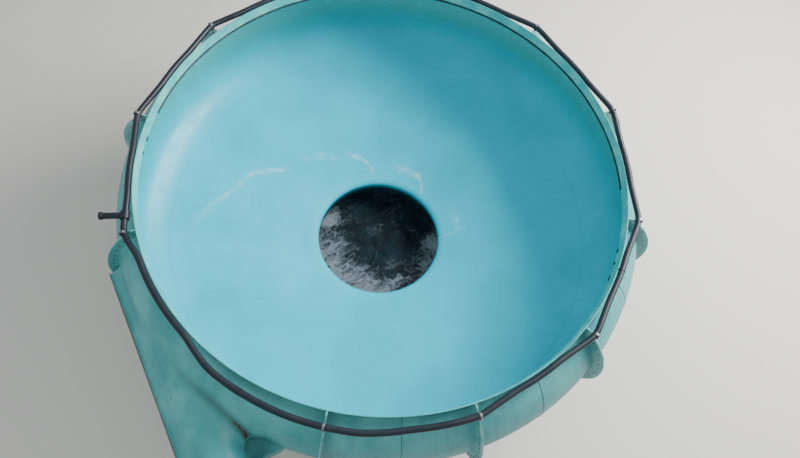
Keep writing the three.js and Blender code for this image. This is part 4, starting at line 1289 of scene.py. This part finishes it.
def splashBasin():
    inner, outer, coping = basin["radius"] - basin["wall"], basin["radius"], basin["coping"]
    low, top = basin["floor"] + collar["seamGap"], basin["height"] - coping
    outline = [(inner, low), (outer, low), (outer, top)]
    outline += arc((outer - coping, top), coping, np.linspace(0.2, pi / 2, 6))
    outline += arc((inner + coping, top), coping, np.linspace(pi / 2, pi - 0.2, 6)) + [(inner, top)]
    addPiece("basin_ring", ringOf("basinRing", outline, 144), "concrete", "basin_concrete", "basin_wall")
    bottom = tubeAlong("basinBottom", outer, basin["floor"], 144, rounding=0.01)
    addPiece("basin_bottom", bottom, "concrete", "basin_concrete", "basin_floor")
    # water as a slab with a rippled top, let into the wall a little
    rings, sides, level = basin["rings"], basin["sides"], basin["waterHeight"]
    points = [(0, 0, level)]
    for r in [(inner + basin["waterLet"]) * (k / rings) for k in range(1, rings + 1)]:
        for a in [2 * pi * k / sides for k in range(sides)]:
            ripple = 0.008 * sin(9 * r + 3 * sin(2 * a)) * (1 - r / inner) + 0.004 * sin(7 * a + 5 * r)
            points.append(onCircle(r, a, level + ripple * min(1, (inner - r) / basin["calmOver"] + 0.1)))
    points += [(x, y, level - basin["waterDepth"]) for x, y, _ in points[-sides:]]
    faces = [(0, 1 + k, 1 + (k + 1) % sides) for k in range(sides)]
    for row in range(rings):
        corners = [(1 + row * sides + k, 1 + row * sides + (k + 1) % sides) for k in range(sides)]
        faces += [(a, a + sides, b + sides, b) for a, b in corners]
    faces.append(tuple(1 + rings * sides + k for k in reversed(range(sides))))
    addPiece("basin_water", shadeSoft(meshOf("basinWater", points, faces)), "water", None)


splashBasin()
print("basin made")


# Bolts
def boltRows(name, rows, spacing, grip, head=0.011, headHeight=0.009, washer=0.016, nuts=True):
    # rows is a list of lines, each with an axis for every point
    points, edges, axes = [], [], []
    for line, across in rows:
        edges += [(len(points) + k, len(points) + k + 1) for k in range(len(line) - 1)]
        points += line
        axes += [tuple(a) for a in across]
    mesh = meshOf(name, points, [], edges)
    mesh.attributes.new("boltAxis", "FLOAT_VECTOR", "POINT").data.foreach_set("vector", np.ravel(axes))
    piece = newPiece(name, mesh)
    runTree(piece, boltRow, spacing=spacing, grip=grip, sink=0.006, headRadius=head, headHeight=headHeight,
            washerRadius=washer, washerHeight=0.0025, nuts=nuts, finish=finishes["stainless"])
    settle(piece, "stainless")


def rowAcross(outline, degrees):
    # a row on a joint between two panels, whose bolts lie across the joint
    angle = radians(degrees)
    return [onCircle(r, angle, z) for r, z in outline], [(-sin(angle), cos(angle), 0)] * len(outline)


def circleRow(radius, height, first, last, steps):
    turns = np.radians(np.linspace(first, last, steps))
    return [onCircle(radius, a, height) for a in turns], [onCircle(1, a, 0) for a in turns]


def tubeRow(spots, axis):
    return [tubePlace @ Vector(s) for s in spots], [tubePlace.to_3x3() @ Vector(axis)] * len(spots)


def panelBolts():
    joints = beside(inside, bowl["shell"] + ribGrowth * 0.55)[3:-2]
    boltRows("rib_bolts", [rowAcross(joints, bowl["entryTo"] + 30 * k) for k in range(11)], 0.15, 0.0275)
    height = bowl["seamHeight"] + 0.024
    rows = [circleRow(upstandRadius, height, k * 30 + 4, k * 30 + 28, 20) for k in range(12)]
    boltRows("collar_bolts", rows, radians(8) * upstandRadius * 0.99, 0.0, nuts=False)


def floorBolts():
    inner, outer = floorPart["throatRadius"], bowl["floorJointRadius"]
    rows = [circleRow(*onFloor(outer, 0.062), 1.0, 357.0, 300),
            circleRow(*onFloor(inner, 0.062), 1.0, 355.0, 200)]
    line = [onFloor(r, 0.06) for r in np.linspace(inner + 0.12, outer - 0.12, 12)]
    rows += [rowAcross(line, floorPart["firstJoint"] + 60 * k) for k in range(6)]
    boltRows("floor_bolts", rows, 0.2, 0.022)


def tubeBolts():
    radius, stub, section = tube["radius"], tube["stub"], tube["section"]
    middle = (radius + tube["flangeRadius"]) / 2 + 0.004
    circle = arc((0, 0), middle, np.linspace(0.14, 2 * pi - 0.12, 60))
    rows = [tubeRow([(s, y, z) for y, z in circle], (1, 0, 0)) for s in (stub, stub + section)]
    boltRows("tube_flange_bolts", rows, 0.17, 2 * tube["flangeThickness"])
    beyond = radius + tube["finWidth"] * 0.62
    lines = [[(s, side * beyond, 0) for s in np.linspace(start + 0.12, start + section - 0.12, 12)]
             for side in (-1, 1) for start in (stub, stub + section)]
    boltRows("tube_fin_bolts", [tubeRow(line, (0, 0, 1)) for line in lines], 0.33, tube["finThickness"])
    across = radius + (tube["longFinWidth"] + tube["swellWidth"]) / 2
    row = tubeRow([(s, -across, 0) for s in np.linspace(-0.6, stub - 0.1, 12)], (0, 0, 1))
    boltRows("long_fin_bolts", [row], 0.8, tube["finThickness"], head=0.008, headHeight=0.006, washer=0.013)


def anchorBolts():
    reach, floor = stand["plateSize"] / 2 - 0.05, stand["plateThickness"]
    places = [(*onCircle(stand["beamRadius"], radians(a), 0)[:2], a) for a in range(30, 390, 60)]
    foot = tubePlace @ Vector((tube["stub"] + tube["section"] * 0.8, 0, 0))
    rows = []
    for x, y, first in places + [(foot.x, foot.y, 0)]:
        for spotX, spotY in arc((x, y), reach, [radians(first + a) for a in (0, 90, 180, 270)]):
            rows.append(([(spotX, spotY, floor), (spotX, spotY, floor + 1e-4)], [(0, 0, 1)] * 2))
    boltRows("anchor_bolts", rows, 1.0, 0.0, head=0.018, headHeight=0.016, washer=0.028, nuts=False)


panelBolts()
floorBolts()
tubeBolts()
anchorBolts()
print("bolts made")


# Floor, light and camera
def studio():
    corners = [(-60, -60, 0), (60, -60, 0), (60, 60, 0), (-60, 60, 0)]
    floor = newPiece("studioFloor", meshOf("studioFloor", corners, [(0, 1, 2, 3)]))
    material = newFinish("paleStudioFloor", roughness=0.85)
    material.node_tree.nodes["Principled BSDF"].inputs["Base Color"].default_value = linear("#c9c6c1")
    floor.data.materials.append(material)
    world = bpy.context.scene.world = bpy.data.worlds.new("softSky")
    world.use_nodes = True
    sky = world.node_tree.nodes["Background"].inputs
    sky[0].default_value, sky[1].default_value = linear("#e6eef2"), 0.72
    for name, place, size, power in (
        ("keyLight", (13, 8, 14.5), 11.0, 10000),
        ("fillLight", (-9, -12, 14), 9.0, 900),
    ):
        light = bpy.data.lights.new(name, "AREA")
        light.energy, light.size = power, size
        lamp = newPiece(name, light)
        lamp.location = place
        lamp.visible_glossy = name == "keyLight"
        lamp.rotation_euler = (Vector((0, 0, 2.5)) - Vector(place)).to_track_quat("-Z", "Y").to_euler()


def photoCamera():
    view = dict(place=(0.67825, -6.37614, 15.4172), forward=(-0.0170456, 0.44050267, -0.89758946),
                up=(-0.20959239, 0.87620043, 0.43398599), focal=687.85, width=800, sensor=36.0)
    forward = Vector(view["forward"]).normalized()
    right = forward.cross(Vector(view["up"])).normalized()
    camera = bpy.data.cameras.new("photoView")
    camera.sensor_width, camera.clip_end = view["sensor"], 300
    camera.lens = view["focal"] / view["width"] * view["sensor"]
    holder = newPiece("photoView", camera)
    matrix = Matrix((right, right.cross(forward), -forward)).transposed().to_4x4()
    matrix.translation = view["place"]
    holder.matrix_world = matrix
    bpy.context.scene.camera = holder


studio()
photoCamera()
print("light and camera set")
